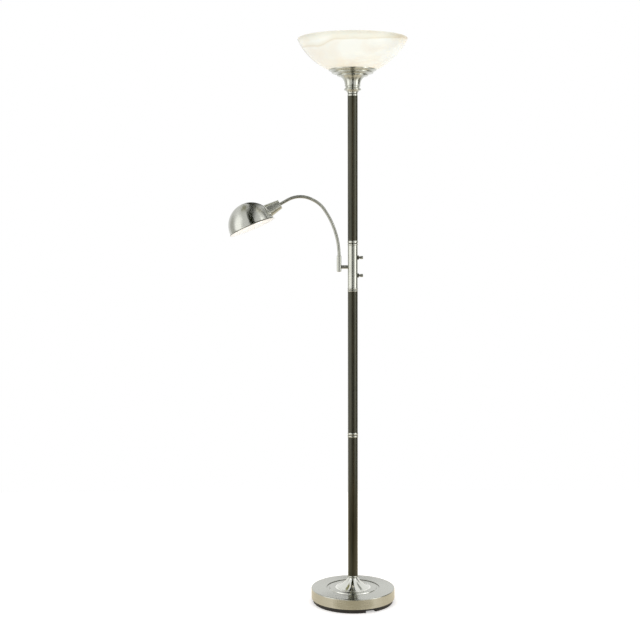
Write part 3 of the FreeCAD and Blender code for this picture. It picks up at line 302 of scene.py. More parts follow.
def alabasterGlass():
    # white glass pressed with swirls, with a painted glow from its bulb and painted shade at the rim;
    # milky, warm over the holder, with one tan vein under the rim
    look = alabaster
    material, tree, where = startMaterial("alabasterSwirlGlass")
    scale = 1000 / look["swirlWide"]
    flat = scale * look["swirlFlat"]
    swirl = addNode(tree, "ShaderNodeMapping",
                    {"Rotation": look["swirlTurn"], "Scale": (flat, flat, scale)}, {"Vector": where})
    wisps = addNode(tree, "ShaderNodeTexNoise",
                    {"Scale": 1, "Detail": 3, "Roughness": 0.45, "Distortion": 1.1}, {"Vector": swirl})
    body = addNode(tree, "ShaderNodeValToRGB",
                   {"stops": [(0.38, look["cream"]), (0.56, look["milk"])]}, {"Fac": wisps})
    place = addNode(tree, "ShaderNodeSeparateXYZ", None, {0: where}).outputs
    # the vein climbs on the left, then runs round under the rim with a slow wave
    climb = addNode(tree, "ShaderNodeMapRange", {
        "interpolation_type": "SMOOTHSTEP", "From Min": look["climbFrom"], "From Max": look["climbTo"],
        "To Min": look["veinLow"], "To Max": look["veinHigh"]}, {"Value": place["X"]})
    wave = addNode(tree, "ShaderNodeMapRange", {"To Min": -look["veinWave"], "To Max": look["veinWave"]},
                   {"Value": wisps})
    square = addNode(tree, "ShaderNodeMath", {"operation": "MULTIPLY"}, {0: place["X"], 1: place["X"]})
    bow = addNode(tree, "ShaderNodeMath", {"operation": "MULTIPLY_ADD", 1: look["veinBow"]},
                  {0: square, 2: wave})
    level = addNode(tree, "ShaderNodeMath", {"operation": "ADD"}, {0: climb, 1: bow})
    over = addNode(tree, "ShaderNodeMath", {"operation": "SUBTRACT"}, {0: place["Z"], 1: level})
    across = addNode(tree, "ShaderNodeMapRange",
                     {"From Min": -look["veinUnder"], "From Max": look["veinOver"]}, {"Value": over})
    vein = addNode(tree, "ShaderNodeValToRGB", {"stops": [
        (0, "FFFFFF"), (0.14, "FAF7F3"), (0.25, look["vein"]), (0.42, "F7F4EF"), (1, "FFFFFF"),
    ]}, {"Fac": across})
    tone = addNode(tree, "ShaderNodeMix", multiply, {6: body, 7: vein}).outputs[2]
    # painted shade: the glass is darkened over its top rimTall, under the rim
    edge = addNode(tree, "ShaderNodeMapRange",
                   {"From Min": look["top"] - look["rimTall"], "From Max": look["top"]},
                   {"Value": place["Z"]})
    rimPaintedShade = addNode(tree, "ShaderNodeValToRGB",
                  {"stops": [(0, "FFFFFF"), (0.35, "F8F6F2"), (0.8, "E9E6E0")]}, {"Fac": edge})
    skin = addNode(tree, "ShaderNodeMix", multiply, {6: tone, 7: rimPaintedShade}).outputs[2]
    # painted glow for the bulb's light: warm at the foot, even in the body, dimmer at the rim
    height = addNode(tree, "ShaderNodeMapRange", {"From Min": look["bottom"], "From Max": look["top"]},
                     {"Value": place["Z"]})
    glow = addNode(tree, "ShaderNodeValToRGB", {"stops": [
        (0, look["glow"]), (0.3, look["lit"]), (0.88, look["lit"]), (0.97, look["rim"]),
    ]}, {"Fac": height})
    light = addNode(tree, "ShaderNodeMix", multiply, {6: glow, 7: tone}).outputs[2]
    bump = addNode(tree, "ShaderNodeBump", {"Strength": 0.08, "Distance": 0.0005}, {"Height": wisps})
    endMaterial(tree, {
        "Base Color": linear(look["milk"]), "Roughness": look["roughness"], "IOR": 1.5,
        "Subsurface Weight": look["milkiness"], "Subsurface Radius": (0.02, 0.017, 0.014),
        "Subsurface Scale": 1, "Emission Strength": look["light"],
    }, {"Base Color": skin, "Emission Color": light, "Normal": bump})
    return material


def coatedBulb():
    # bulb with a white powder coat, switched on: bright, warm and without hot spots
    material, tree, where = startMaterial("coatedBulbGlass")
    grain = addNode(tree, "ShaderNodeTexNoise", {"Scale": 1000 / bulb["grain"], "Detail": 3},
                    {"Vector": where})
    glow = addNode(tree, "ShaderNodeValToRGB", {"stops": [(0.3, bulb["low"]), (0.7, bulb["high"])]},
                   {"Fac": grain})
    endMaterial(tree, {
        "Base Color": linear(bulb["skin"]), "Roughness": bulb["roughness"], "IOR": 1.5,
        "Emission Strength": bulb["light"],
    }, {"Emission Color": glow})
    return material


def mouldedPlastic(name, colour, shade, roughness, grain):
    # moulded plastic or rubber: even colour and a fine spark-eroded grain, in mm
    material, tree, where = startMaterial(name)
    skin = addNode(tree, "ShaderNodeTexNoise", {"Scale": 1000 / grain, "Detail": 3}, {"Vector": where})
    tone = addNode(tree, "ShaderNodeValToRGB", {"stops": [(0.3, shade), (0.7, colour)]}, {"Fac": skin})
    rough = addNode(tree, "ShaderNodeMapRange",
                    {"To Min": roughness - 0.06, "To Max": roughness + 0.06}, {"Value": skin})
    bump = addNode(tree, "ShaderNodeBump", {"Strength": 0.2, "Distance": 0.0003}, {"Height": skin})
    endMaterial(tree, {"Base Color": linear(colour), "Roughness": roughness, "IOR": 1.5},
                {"Base Color": tone, "Roughness": rough, "Normal": bump})
    return material


def whiteEnamel():
    # white stove enamel inside the reading shade, with a painted glow for its bulb's light: even, half
    # gloss
    material, tree, where = startMaterial("whiteStoveEnamel")
    cloud = addNode(tree, "ShaderNodeTexNoise", {"Scale": 1000 / lining["cloudWide"], "Detail": 3},
                    {"Vector": where})
    tone = addNode(tree, "ShaderNodeValToRGB",
                   {"stops": [(0.3, lining["dull"]), (0.7, lining["clear"])]}, {"Fac": cloud})
    glow = addNode(tree, "ShaderNodeValToRGB",
                   {"stops": [(0.3, lining["paintedGlowLow"]), (0.7, lining["paintedGlowHigh"])]}, {"Fac": cloud})
    endMaterial(tree, {
        "Base Color": linear(lining["skin"]), "Roughness": lining["roughness"], "IOR": 1.5,
        "Emission Strength": lining["light"],
    }, {"Base Color": tone, "Emission Color": glow})
    return material


# names with an underscore are the slots in the part's record
finish = {
    "satin_nickel": satinNickel("satinNickelPlate", satin),
    "nickelAcross": satinNickel("satinNickelAcross", knobSatin, "X"),
    # painted shade: a darker nickel for the groove walls, the steps beside the ring mouldings and the
    # vase's joint with the ring
    "paintedShadeNickel": plainMetal("nickelPaintedShadeInGrooves", "5A5A50", "47473E", 0.5, 3),
    # painted shade: the nuts take a darker nickel
    "nutPaintedShade": plainMetal("nickelNutPaintedShade", "8A8B80", "72736A", 0.35, 3),
    # painted shade: the dome's rolled lip takes a darker nickel
    "lipPaintedShade": plainMetal("nickelLipPaintedShade", "8C8B80", "7A796E", 0.35, 4),
    # polished nickel, brightened as a painted highlight on the base's bead and inner groove wall and on
    # the saddle ring
    "polishedHighlight": plainMetal("polishedNickelPaintedHighlight", "EDEDE6", "E2E2DB", 0.2, 4),
    "nickelStrip": woundStrip(),
    "spun_nickel": spunNickel("spunNickelPlate", spun),
    "spunBase": spunNickel("spunNickelBase", spunBase),
    "spunBellPaintedHighlight": spunNickel("spunNickelBellPaintedHighlight", spunBellPaintedHighlight),
    "dark_walnut": walnutLacquer(),
    "alabaster_glass": alabasterGlass(),
    "frosted_glass": coatedBulb(),
    "black_abs": mouldedPlastic("mouldedBlackABS", "171717", "0F0F0F", 0.5, 0.9),
    "iron": plainMetal("greyCastIron", "55524E", "3F3D3A", 0.62, 3),
    "zinc_steel": plainMetal("zincPlatedSteel", "B9BABB", "9FA1A3", 0.34, 4),
    "brass_shaft": plainMetal("turnedBrass", "C6A664", "A98B4C", 0.3, 3),
    "bulb_aluminium": plainMetal("pressedAluminium", "C9CACB", "B0B1B3", 0.32, 3),
    "porcelain": mouldedPlastic("glazedPorcelain", "EDEAE2", "E3DFD5", 0.18, 6),
    "seat_rubber": mouldedPlastic("mouldedBlackRubber", "1B1A19", "121211", 0.72, 0.8),
    "nylon": mouldedPlastic("mouldedNylon", "DEDBD2", "D2CEC3", 0.4, 1.5),
    "enamel": whiteEnamel(),
}

# nodes with another finish than their slot's: turned pieces that lie across, and the nuts, which take a
# darker nickel as painted shade
ownFinish = {
    "upper_knob": "nickelAcross", "lower_knob": "nickelAcross", "arm_stub": "nickelAcross",
    "upper_switch_nut": "nutPaintedShade", "lower_switch_nut": "nutPaintedShade",
}


def dressFrame():
    slots = {item["node"]: item["material_slot"] for item in frame["record"]["subparts"]}
    for word, thing in frame["nodes"].items():
        thing.data.materials.clear()
        thing.data.materials.append(finish[ownFinish.get(word, slots[word])])


dressFrame()
print("materials made")

# helpers for shapes; all outlines are (distance from the axis, height) in mm

lathe = {
    "sides": 96,
    "sharpAngle": 35,       # degrees; a wider angle between faces stays an edge
    "evenWeight": 80,
}


def arc(start, stop, curve, steps=12):
    # points after start, up to stop, on an arc that turns left if curve is positive
    a, b = Vector(start), Vector(stop)
    chord = b - a
    side = Vector((-chord.y, chord.x)).normalized() * (1 if curve > 0 else -1)
    reach = math.sqrt(max(curve * curve - chord.length_squared / 4, 0))
    middle = (a + b) / 2 + side * reach
    first = math.atan2(a.y - middle.y, a.x - middle.x)
    last = math.atan2(b.y - middle.y, b.x - middle.x)
    turn = (last - first + math.pi) % (2 * math.pi) - math.pi
    return [(middle.x + abs(curve) * math.cos(first + turn * i / steps),
             middle.y + abs(curve) * math.sin(first + turn * i / steps)) for i in range(1, steps + 1)]


def eased(corners, steps=4):
    # rounds each corner (across, up, roundness)
    points = []
    count = len(corners)
    for i, corner in enumerate(corners):
        here = Vector(corner[:2])
        if len(corner) == 2:
            points.append(tuple(here))
            continue
        before = Vector(corners[i - 1][:2]) - here
        after = Vector(corners[(i + 1) % count][:2]) - here
        angle = before.angle(after)
        cut = min(corner[2] / math.tan(angle / 2), before.length * 0.48, after.length * 0.48)
        a, b = here + before.normalized() * cut, here + after.normalized() * cut
        for k in range(steps + 1):
            t = k / steps
            points.append(tuple(a * (1 - t) ** 2 + here * 2 * t * (1 - t) + b * t ** 2))
    return points


def meshPiece(name, work, looks):
    bmesh.ops.recalc_face_normals(work, faces=work.faces)
    mesh = bpy.data.meshes.new(name)
    work.to_mesh(mesh)
    work.free()
    thing = bpy.data.objects.new(name, mesh)
    bpy.context.collection.objects.link(thing)
    for look in looks:
        mesh.materials.append(finish[look])
    for face in mesh.polygons:
        face.use_smooth = True
    return thing


def turned(name, outline, looks=("satin_nickel",), sides=lathe["sides"], tint=None, shape=None):
    # a lathe piece; shape(across, up, angle) may move each point, tint(i) is the number of the look
    # on the band that starts at point i. Its map "fromEdge" runs along the outline in metres, then
    # round the piece
    work = bmesh.new()
    rows = []
    for across, up in outline:
        if across < 1e-6:
            rows.append([work.verts.new((0, 0, up * mm))])
            continue
        row = []
        for k in range(sides):
            angle = 2 * math.pi * k / sides
            r, z = shape(across, up, angle) if shape else (across, up)
            row.append(work.verts.new((r * mm * math.cos(angle), r * mm * math.sin(angle), z * mm)))
        rows.append(row)
    runs = [0.0]
    for a, b in zip(outline, outline[1:] + outline[:1]):
        runs.append(runs[-1] + math.dist(a, b) * mm)
    layer = work.loops.layers.uv.new("fromEdge")
    for i, row in enumerate(rows):
        follower = rows[(i + 1) % len(rows)]
        if len(row) == 1 and len(follower) == 1:
            continue
        for k in range(sides):
            n = (k + 1) % sides
            if len(row) == 1:
                face = work.faces.new((row[0], follower[k], follower[n]))
                places = ((i, k + 0.5), (i + 1, k), (i + 1, k + 1))
            elif len(follower) == 1:
                face = work.faces.new((row[n], row[k], follower[0]))
                places = ((i, k + 1), (i, k), (i + 1, k + 0.5))
            else:
                face = work.faces.new((row[k], follower[k], follower[n], row[n]))
                places = ((i, k), (i + 1, k), (i + 1, k + 1), (i, k + 1))
            for loop, (down, column) in zip(face.loops, places):
                loop[layer].uv = (runs[down], column / sides)
            if tint:
                face.material_index = int(tint(i))
    thing = meshPiece(name, work, looks)
    thing.data.set_sharp_from_angle(angle=math.radians(lathe["sharpAngle"]))
    even = thing.modifiers.new("evenNormals", "WEIGHTED_NORMAL")
    even.keep_sharp = True
    even.weight = lathe["evenWeight"]
    return thing


def settle(thing, body, nodes, spot=(0, 0, 0), turn=(0, 0, 0)):
    # spot in mm, turn in degrees
    thing.location = Vector(spot) * mm
    thing.rotation_euler = [math.radians(a) for a in turn]
    bpy.context.view_layer.update()
    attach(thing, body)
    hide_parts(*nodes)


# base: spun cover with a groove, a bead and a bell; sizes in mm

base = {
    "radius": 135, "wallLow": 14, "top": 47, "crown": 0.4, "round": 3.4, "gauge": 1,
    "grooveOuter": 84.5, "grooveInner": 76, "grooveDeep": 2, "grooveSlope": 1,
    "lipRound": 0.8, "floorRound": 0.6,
    "bead": 57.5, "beadRise": 1.1, "beadCurve": 4.4,
    "bellFoot": 52, "bellCurve": 95, "bellNeck": 13, "bellTop": 81,
    "bore": 5.1, "sides": 192,
    "looks": ("spunBase", "paintedShadeNickel", "polishedHighlight", "spunBellPaintedHighlight"),
}


def buildBase():
    b = base
    edge, gauge, slope = b["radius"], b["gauge"], b["grooveSlope"]
    land = b["top"] + b["crown"]
    floor = land - b["grooveDeep"]
    grooveOut, grooveIn = b["grooveOuter"], b["grooveInner"]
    foot, end = (b["bellFoot"], land + b["beadRise"]), (b["bellNeck"], b["bellTop"])
    outer = eased([
        (edge, b["wallLow"]), (edge, b["top"], b["round"]), (grooveOut + slope, land, b["lipRound"]),
        (grooveOut, floor, b["floorRound"]), (grooveIn + slope, floor, b["floorRound"]),
        (grooveIn, land, b["lipRound"]), (b["bead"], land),
    ], 8)
    outer += arc((b["bead"], land), foot, b["beadCurve"], 10)
    outer += arc(foot, end, -b["bellCurve"], 40)
    endUnder = (b["bellNeck"] - gauge, b["bellTop"] - gauge)
    # the under-face, out of sight, with blunter corners
    inside = [(b["bore"], b["bellTop"]), (b["bore"], b["bellTop"] - gauge), endUnder]
    inside += arc(endUnder, (b["bellFoot"], land - gauge), b["bellCurve"] + gauge, 24)
    inside += [(b["bead"] - 0.4, land - gauge), (grooveIn - slope, land - gauge),
               (grooveIn + slope, floor - gauge), (grooveOut + 0.6, floor - gauge),
               (grooveOut + 2.6, land - gauge), (edge - b["round"], b["top"] - gauge),
               (edge - gauge, b["top"] - b["round"]), (edge - gauge, b["wallLow"])]

    def tint(i):
        # painted light: the groove's outer wall takes painted shade, its inner wall and the bead a painted
        # highlight, and the bell a brighter copy as painted highlight
        if i + 1 >= len(outer):
            return 0
        (r, up), (nextR, nextUp) = outer[i], outer[i + 1]
        if grooveIn - slope < r < grooveOut + slope + 0.5:
            if abs(nextUp - up) < abs(nextR - r):
                return 0
            return 1 if nextUp < up else 2
        if b["bellFoot"] + 0.1 < r < b["bead"] + 0.1:
            return 2
        return 3 if r < b["bellFoot"] + 0.2 else 0

    cover = turned("spunCover", outer + inside, b["looks"], b["sides"], tint)
    settle(cover, "stand", ["base_shell"])


buildBase()
print("base built")

# turned rings on the pole; sizes in mm

poleRings = {
    "edge": 17.2, "beadRise": 0.9, "groove": 1.1, "bore": 5.1, "spigot": 14.5,
    # the quirks' faces take a darker nickel as painted shade
    "quirkDeep": 1.6, "quirkTall": 0.5,     # dark step over and under the mouldings
    "base": (81, 5.5),                      # height of its foot, its own height
    "baseInset": 3, "baseSide": 0.3, "baseLow": 1.2, "baseHigh": 0.8, "baseTop": 1, "baseCurve": 0.47,
    "coupling": (540.2, 15.5, 0.44, 0, 0),  # and where its groove is, spigot below and above
    "low": (1009.4, 11.3, 0.47, 0, 8),
    "high": (1156.4, 15.3, 0.4, 8, 0),
}


def bead(low, high, waist, rise):
    # half-round moulding from low to high
    curve = ((high - low) ** 2 / 4 + rise ** 2) / (2 * rise)
    return [(waist, low)] + arc((waist, low), (waist, high), curve, 10)


def buildRings():
    p = poleRings
    edge, bore, rise, spigot = p["edge"], p["bore"], p["beadRise"], p["spigot"]
    waist = edge - rise
    quirk, step = waist - p["quirkDeep"], p["quirkTall"]
    lift, height = p["base"]
    side = edge - p["baseSide"]
    outline = [(bore, 0), (edge - p["baseInset"], 0), (side, p["baseLow"])]
    outline += arc((side, p["baseLow"]), (side, height - p["baseHigh"]), height * p["baseCurve"], 10)
    outline += [(edge - p["baseTop"], height), (bore, height)]
    settle(turned("baseRing", outline), "stand", ["base_collar"], spot=(0, 0, lift))
    for word, node in (("coupling", "pole_coupling"), ("low", "lower_collar"), ("high", "upper_collar")):
        lift, height, share, below, above = p[word]
        groove, gap = height * share, p["groove"]
        outline = [(bore, -below)]
        if below:
            outline += [(spigot, -below), (spigot, 0)]
        outline += [(quirk, 0), (quirk, step)]
        outline += bead(step, groove - gap, waist, rise)
        outline += [(quirk, groove - gap), (quirk, groove + gap)]
        outline += bead(groove + gap, height - step, waist, rise)
        outline += [(quirk, height - step), (quirk, height)]
        if above:
            outline += [(spigot, height), (spigot, height + above)]
        outline.append((bore, height + above))
        # painted shade on the faces of the quirks
        dark = [i for i, (here, there) in enumerate(zip(outline, outline[1:]))
                if spigot < min(here[0], there[0]) < quirk + 0.1]
        ring = turned(word + "Ring", outline, ("satin_nickel", "paintedShadeNickel"), tint=lambda i: i in dark)
        settle(ring, "stand", [node], spot=(0, 0, lift))


buildRings()
print("pole rings built")

# torchiere head: ring, vase, trumpet, stepped holder and bowl; sizes in mm

headSizes = {
    "ringLow": 1625.4, "ringTall": 6, "poleEdge": 16, "bore": 5.1, "sheet": 1.5,
    "vaseTall": 24.6, "bulge": 25.1, "cove": 12,
    "vaseSteps": (0.1, 0.49, 0.71, 0.76),   # shares of its height: cove, bulge low and high, shoulder
    "bulgeRound": 0.122,
    "throat": 24.3, "trumpetTall": 31.8, "trumpetCurve": 30.7, "trumpetRim": 44,
    "trumpetFoot": 0.13, "opening": 0.554,  # shares of its height and of its curve
    "discs": (49, 65.5, 75),
    # from disc to disc: lip, step in, foot of the next and its side, in shares; the cove in mm
    "coves": ((0.13, 0.17, 0.4, 0.46, 26), (0.54, 0.58, 0.82, 0.88, 18)),
    "bowlLift": 5, "bowlCurve": 191.5, "bowlDeep": 109.5, "bowlWall": 4, "bowlHole": 20.6, "seat": 0.3,
}


def underBowl(across):
    h = headSizes
    return h["bowlLift"] + h["bowlCurve"] - math.sqrt(h["bowlCurve"] ** 2 - across ** 2)


def overBowl(across):
    h = headSizes
    curve = h["bowlCurve"] - h["bowlWall"]
    return h["bowlLift"] + h["bowlWall"] + curve - math.sqrt(curve ** 2 - across ** 2)


def buildHead():
    h = headSizes
    edge, bore, sheet = h["poleEdge"], h["bore"], h["sheet"]
    low, tall = h["ringLow"], h["ringTall"]
    ring = eased([(bore, 0), (edge - 0.6, 0, 0.3), (edge + 0.3, 0.8, 0.6),
                  (edge + 0.3, tall - 1.6, 0.8), (edge - 0.8, tall, 0.3), (bore, tall)])
    settle(turned("neckRing", ring), "stand", ["neck_ring"], spot=(0, 0, low))
    low += tall

    tall, bulge = h["vaseTall"], h["bulge"]
    cove, wide, full, shoulder = (tall * share for share in h["vaseSteps"])
    vase = [(bore, 0), (edge - 1.6, 0), (edge - 1.6, 1.4), (edge - 0.2, 1.8), (edge, cove)]
    vase += arc((edge, cove), (bulge, wide), -h["cove"], 14)
    vase += arc((bulge, wide), (bulge, full), tall * h["bulgeRound"], 16)
    vase += eased([(bulge, full), (bulge - 2.4, shoulder, 0.5), (bulge - 3, tall, 0.4), (bore, tall)])[1:]
    # painted shade: a dark line where it meets the ring
    settle(turned("neckVase", vase, ("satin_nickel", "paintedShadeNickel"), 112, lambda i: i in (1, 2)),
           "stand", ["neck_vase"], spot=(0, 0, low))
    low += tall

    tall, throat, curve = h["trumpetTall"], h["throat"], h["trumpetCurve"]
    foot, mouth = tall * h["trumpetFoot"], throat + curve * h["opening"]
    lip = tall - sheet * 0.2
    trumpet = [(bore, 0), (throat + 0.7, 0), (throat + 0.25, foot * 0.4), (throat, foot)]
    trumpet += arc((throat, foot), (mouth, lip), -curve, 30)
    trumpet += [(h["trumpetRim"], lip), (h["trumpetRim"], tall), (mouth - 3.5, tall)]
    trumpet += arc((mouth - 3.5, tall), (throat - sheet, foot), curve + sheet * 2, 20)
    trumpet += [(throat + 0.7 - sheet, sheet), (bore, sheet)]
    settle(turned("trumpetNeck", trumpet, sides=128), "stand", ["trumpet"], spot=(0, 0, low))
    low += tall

    one, two, three = h["discs"]
    top = underBowl(three) - h["seat"]
    holder = [(bore, 0), (one - 1.2, 0)] + arc((one - 1.2, 0), (one, 1.4), 1.5, 6)
    for here, there, (lip, step, foot, side, curve) in zip((one, two), (two, three), h["coves"]):
        holder += [(here, top * lip), (here - 0.6, top * step)]
        holder += arc((here - 0.6, top * step), (there - 3, top * foot), -curve, 12)
        holder += arc((there - 3, top * foot), (there, top * side), 3.6, 6)
    holder += [(three, top - 0.3), (three - 0.3, top)]
    # the hidden inner face
    holder += [(three - sheet, underBowl(three - sheet) - h["seat"]),
               (two + 1.5, underBowl(two + 1.5) - 1.2), (two - 4, top * 0.68), (two - 4.5, top * 0.52),
               (two - 11, top * 0.5), (one - 5.5, top * 0.28), (one - 6, sheet), (bore, sheet)]
    settle(turned("steppedHolder", holder, sides=160), "stand", ["shade_holder"], spot=(0, 0, low))

    deep, curve, wall, hole = h["bowlDeep"], h["bowlCurve"], h["bowlWall"], h["bowlHole"]
    inner = curve - wall
    rim = math.sqrt(curve ** 2 - (curve - deep) ** 2)
    rimInner = math.sqrt(inner ** 2 - (curve - deep) ** 2)
    top = h["bowlLift"] + deep
    bowl = [(hole, underBowl(hole))] + arc((hole, underBowl(hole)), (rim, top), curve, 60)
    bowl += arc((rim, top), (rimInner, top), (rim - rimInner) * 0.52, 10)
    bowl += arc((rimInner, top), (hole, overBowl(hole)), -inner, 60)
    settle(turned("glassBowl", bowl, ["alabaster_glass"], 192), "stand", ["glass_bowl"],
           (0, 0, low))


buildHead()
print("torchiere head built")

# reading head: cup, ring and shade; lengths in mm from the narrow end of the cup, angles in degrees

reading = {
    "spot": (-229.810, 0, 1287.728), "aim": 119.1,      # narrow end of the cup, angle from up to -X
    "cupLong": 43, "cupSmall": 14.8, "cupLarge": 21.5, "cupWall": 1.2, "neckBore": 5.1,
    "cupStep": 0.49, "cupWaist": 0.46,                  # shares of its length and of its taper
    "cupSpare": 6,                                      # drawn past its length, then cut at the ring
    "domeAlong": 113.1, "domeAside": 14.4, "dome": 73.6, "gauge": 0.9, "skirt": 6.6,
    "flare": 2.6, "flareTall": 4.2, "tilt": 22.8, "roll": 5,
    "saddle": 23.5, "saddleThick": 2.4, "saddleLap": 3.2, "gap": 0.3,
}


def domeCentre():
    aim = math.radians(reading["aim"])
    across = Vector((math.cos(aim), 0, math.sin(aim)))
    along = Vector((-math.sin(aim), 0, math.cos(aim)))
    return Vector(reading["spot"]) - across * reading["domeAside"] + along * reading["domeAlong"]


def mitre(first, last, angle):
    # where the cup's wall meets the ball that is the ring's outer face
    h = reading
    limit = h["dome"] + h["gap"] + h["saddleThick"] + 0.1
    low, high = 0.0, 1.0
    for _ in range(40):
        t = (low + high) / 2
        r, up = first[0] + (last[0] - first[0]) * t, first[1] + (last[1] - first[1]) * t
        away = math.hypot(r * math.cos(angle) + h["domeAside"], r * math.sin(angle),
                          up - h["domeAlong"])
        low, high = (t, high) if away > limit else (low, t)
    return r, up


def buildCup():
    h = reading
    waist = h["cupLong"] * h["cupStep"]
    waistAcross = h["cupSmall"] + (h["cupLarge"] - h["cupSmall"]) * h["cupWaist"]
    small, wall, end = h["cupSmall"], h["cupWall"], h["cupLong"] + h["cupSpare"]
    outStart, outEnd = (waistAcross + 0.4, waist + 0.8), (h["cupLarge"] + 1, end)
    inStart, inEnd = (waistAcross - wall, waist), (h["cupLarge"] + 1 - wall, end)
    outline = eased([(h["neckBore"], 0), (small - 1.2, 0, 0.5), (small, 1.2, 0.8),
                     (waistAcross, waist - 0.8, 0.4), (waistAcross - 0.6, waist, 0.2),
                     outStart + (0.4,), outEnd])
    outline += [inEnd, inStart, (small - wall, 2), (h["neckBore"], 2)]

    def cutEnd(r, up, angle):
        if (r, up) == outEnd:
            return mitre(outStart, outEnd, angle)
        if (r, up) == inEnd:
            return mitre(inStart, inEnd, angle)
        return r, up

    cup = turned("socketCup", outline, shape=cutEnd)
    settle(cup, "head", ["socket_cup"], spot=h["spot"], turn=(0, -h["aim"], 0))


def buildSaddle():
    h = reading
    seat = h["dome"] + h["gap"]
    lean = math.degrees(math.atan2(h["domeAside"], math.sqrt(seat ** 2 - h["domeAside"] ** 2)))
    crown, inner, outer = seat + h["saddleThick"], h["cupSmall"] + h["saddleLap"], h["saddle"]

    def ballUp(ball, r):
        return math.sqrt(ball ** 2 - r ** 2)

    ring = [(inner, ballUp(seat, inner)), (inner, ballUp(crown, inner))]
    ring += arc(ring[-1], (outer - 0.8, ballUp(crown, outer - 0.8)), -crown, 6)
    ring += [(outer - 0.3, ballUp(crown, outer) - 0.2), (outer, ballUp(crown, outer) - 0.7),
             (outer, ballUp(seat, outer))]
    # the saddle ring is polished and brightened as a painted highlight
    saddle = turned("saddleRing", ring[::-1], ["polishedHighlight"])
    settle(saddle, "head", ["cup_ring"], spot=domeCentre(), turn=(0, 180 - h["aim"] - lean, 0))


def buildDome():
    h = reading
    radius, gauge, skirt = h["dome"], h["gauge"], h["skirt"]
    edge, rise, inside = radius + h["flare"], h["flareTall"], radius - gauge
    curve, nearAxis = rise * 1.2, 0.001
    outer = [(edge - gauge * 0.7, 0), (edge - 0.2, 0.1), (edge, 0.4), (edge - 0.1, gauge)]
    outer += arc((edge - 0.1, gauge), (radius, rise), -curve, 10) + [(radius, skirt)]
    outer += arc((radius, skirt), (nearAxis, skirt + radius), radius, 48)[:-1] + [(0, skirt + radius)]
    under = [(0, skirt + inside)] + arc((nearAxis, skirt + inside), (inside, skirt), -inside, 48)
    under += arc((inside, skirt), (inside, rise), 1000, 2)
    under += arc((inside, rise), (edge - gauge, 0), curve + gauge, 10)
    lip = 9     # bands of the rolled lip
    # the bands of the lip take a darker nickel as painted shade
    dome = turned("readingDome", outer + under, ("spun_nickel", "enamel", "lipPaintedShade"), 144,
                  lambda i: 1 if i >= len(outer) else 2 if i < lip else 0)
    # the tilt goes into the mesh, so that the piece's own box stays as small as the dome
    tilt, roll = math.radians(h["tilt"]), math.radians(h["roll"])
    turn = Matrix.Rotation(-tilt, 3, "Y") @ Matrix.Rotation(-roll, 3, "X")
    dome.data.transform(turn.to_4x4())
    mouth = domeCentre() - turn @ Vector((0, 0, skirt))
    settle(dome, "head", ["reading_shade"], spot=mouth)


buildCup()
buildSaddle()
buildDome()
print("reading head built")

# gooseneck: flat steel strip wound into a tube, one piece for each joint

neck = {
    "start": (-43.5, 1095), "straight": 29, "lead": 6, "tail": 30,      # mm
    "arcs": ((242, 17), (242, 17), (87.5, 28.6), (84, 56.5)),           # mm, degrees
    "joints": 3,            # at the ends of the first arcs
    "sample": 0.5,          # mm between points of the centre line
    "radius": 5, "ridge": 0.07,
    "pitch": 2.2,           # mm a turn; real strip is 1.6 mm
    "round": 28, "stepsEach": 7,
    "reach": 34,            # mm, half the bent stretch
    "mapStep": 0.01,
}


def neckRoute():
    # the centre line as (length so far, point, direction), and the joints on it
    runs = [("line", neck["straight"])]
    for i, (curve, turn) in enumerate(neck["arcs"]):
        if i:
            runs.append(("line", neck["lead"]))
        runs.append(("arc", curve, turn))
    runs.append(("line", neck["tail"]))
    spot, aim, gone = Vector((neck["start"][0], 0, neck["start"][1])), 0.0, 0.0
    samples, joints = [], []
    for run in runs:
        ahead = Vector((-math.sin(aim), 0, math.cos(aim)))
        if run[0] == "line":
            length = run[1]
            count = int(length / neck["sample"])
            for k in range(count):
                samples.append((gone + length * k / count, spot + ahead * (length * k / count), ahead))
            spot = spot + ahead * length
        else:
            curve, turn = run[1], math.radians(run[2])
            length = curve * turn
            side = Vector((-math.cos(aim), 0, -math.sin(aim)))
            middle = spot + side * curve
            count = int(length / neck["sample"])
            for k in range(count):
                now = aim + turn * k / count
                out = Vector((math.cos(now), 0, math.sin(now)))
                samples.append((gone + length * k / count, middle + out * curve,
                                Vector((-math.sin(now), 0, math.cos(now)))))
            aim += turn
            spot = middle + Vector((math.cos(aim), 0, math.sin(aim))) * curve
            if len(joints) < neck["joints"]:
                joints.append((gone + length, spot.copy(), Vector((-math.sin(aim), 0, math.cos(aim)))))
        gone += length
    samples.append((gone, spot, ahead))
    return samples, joints


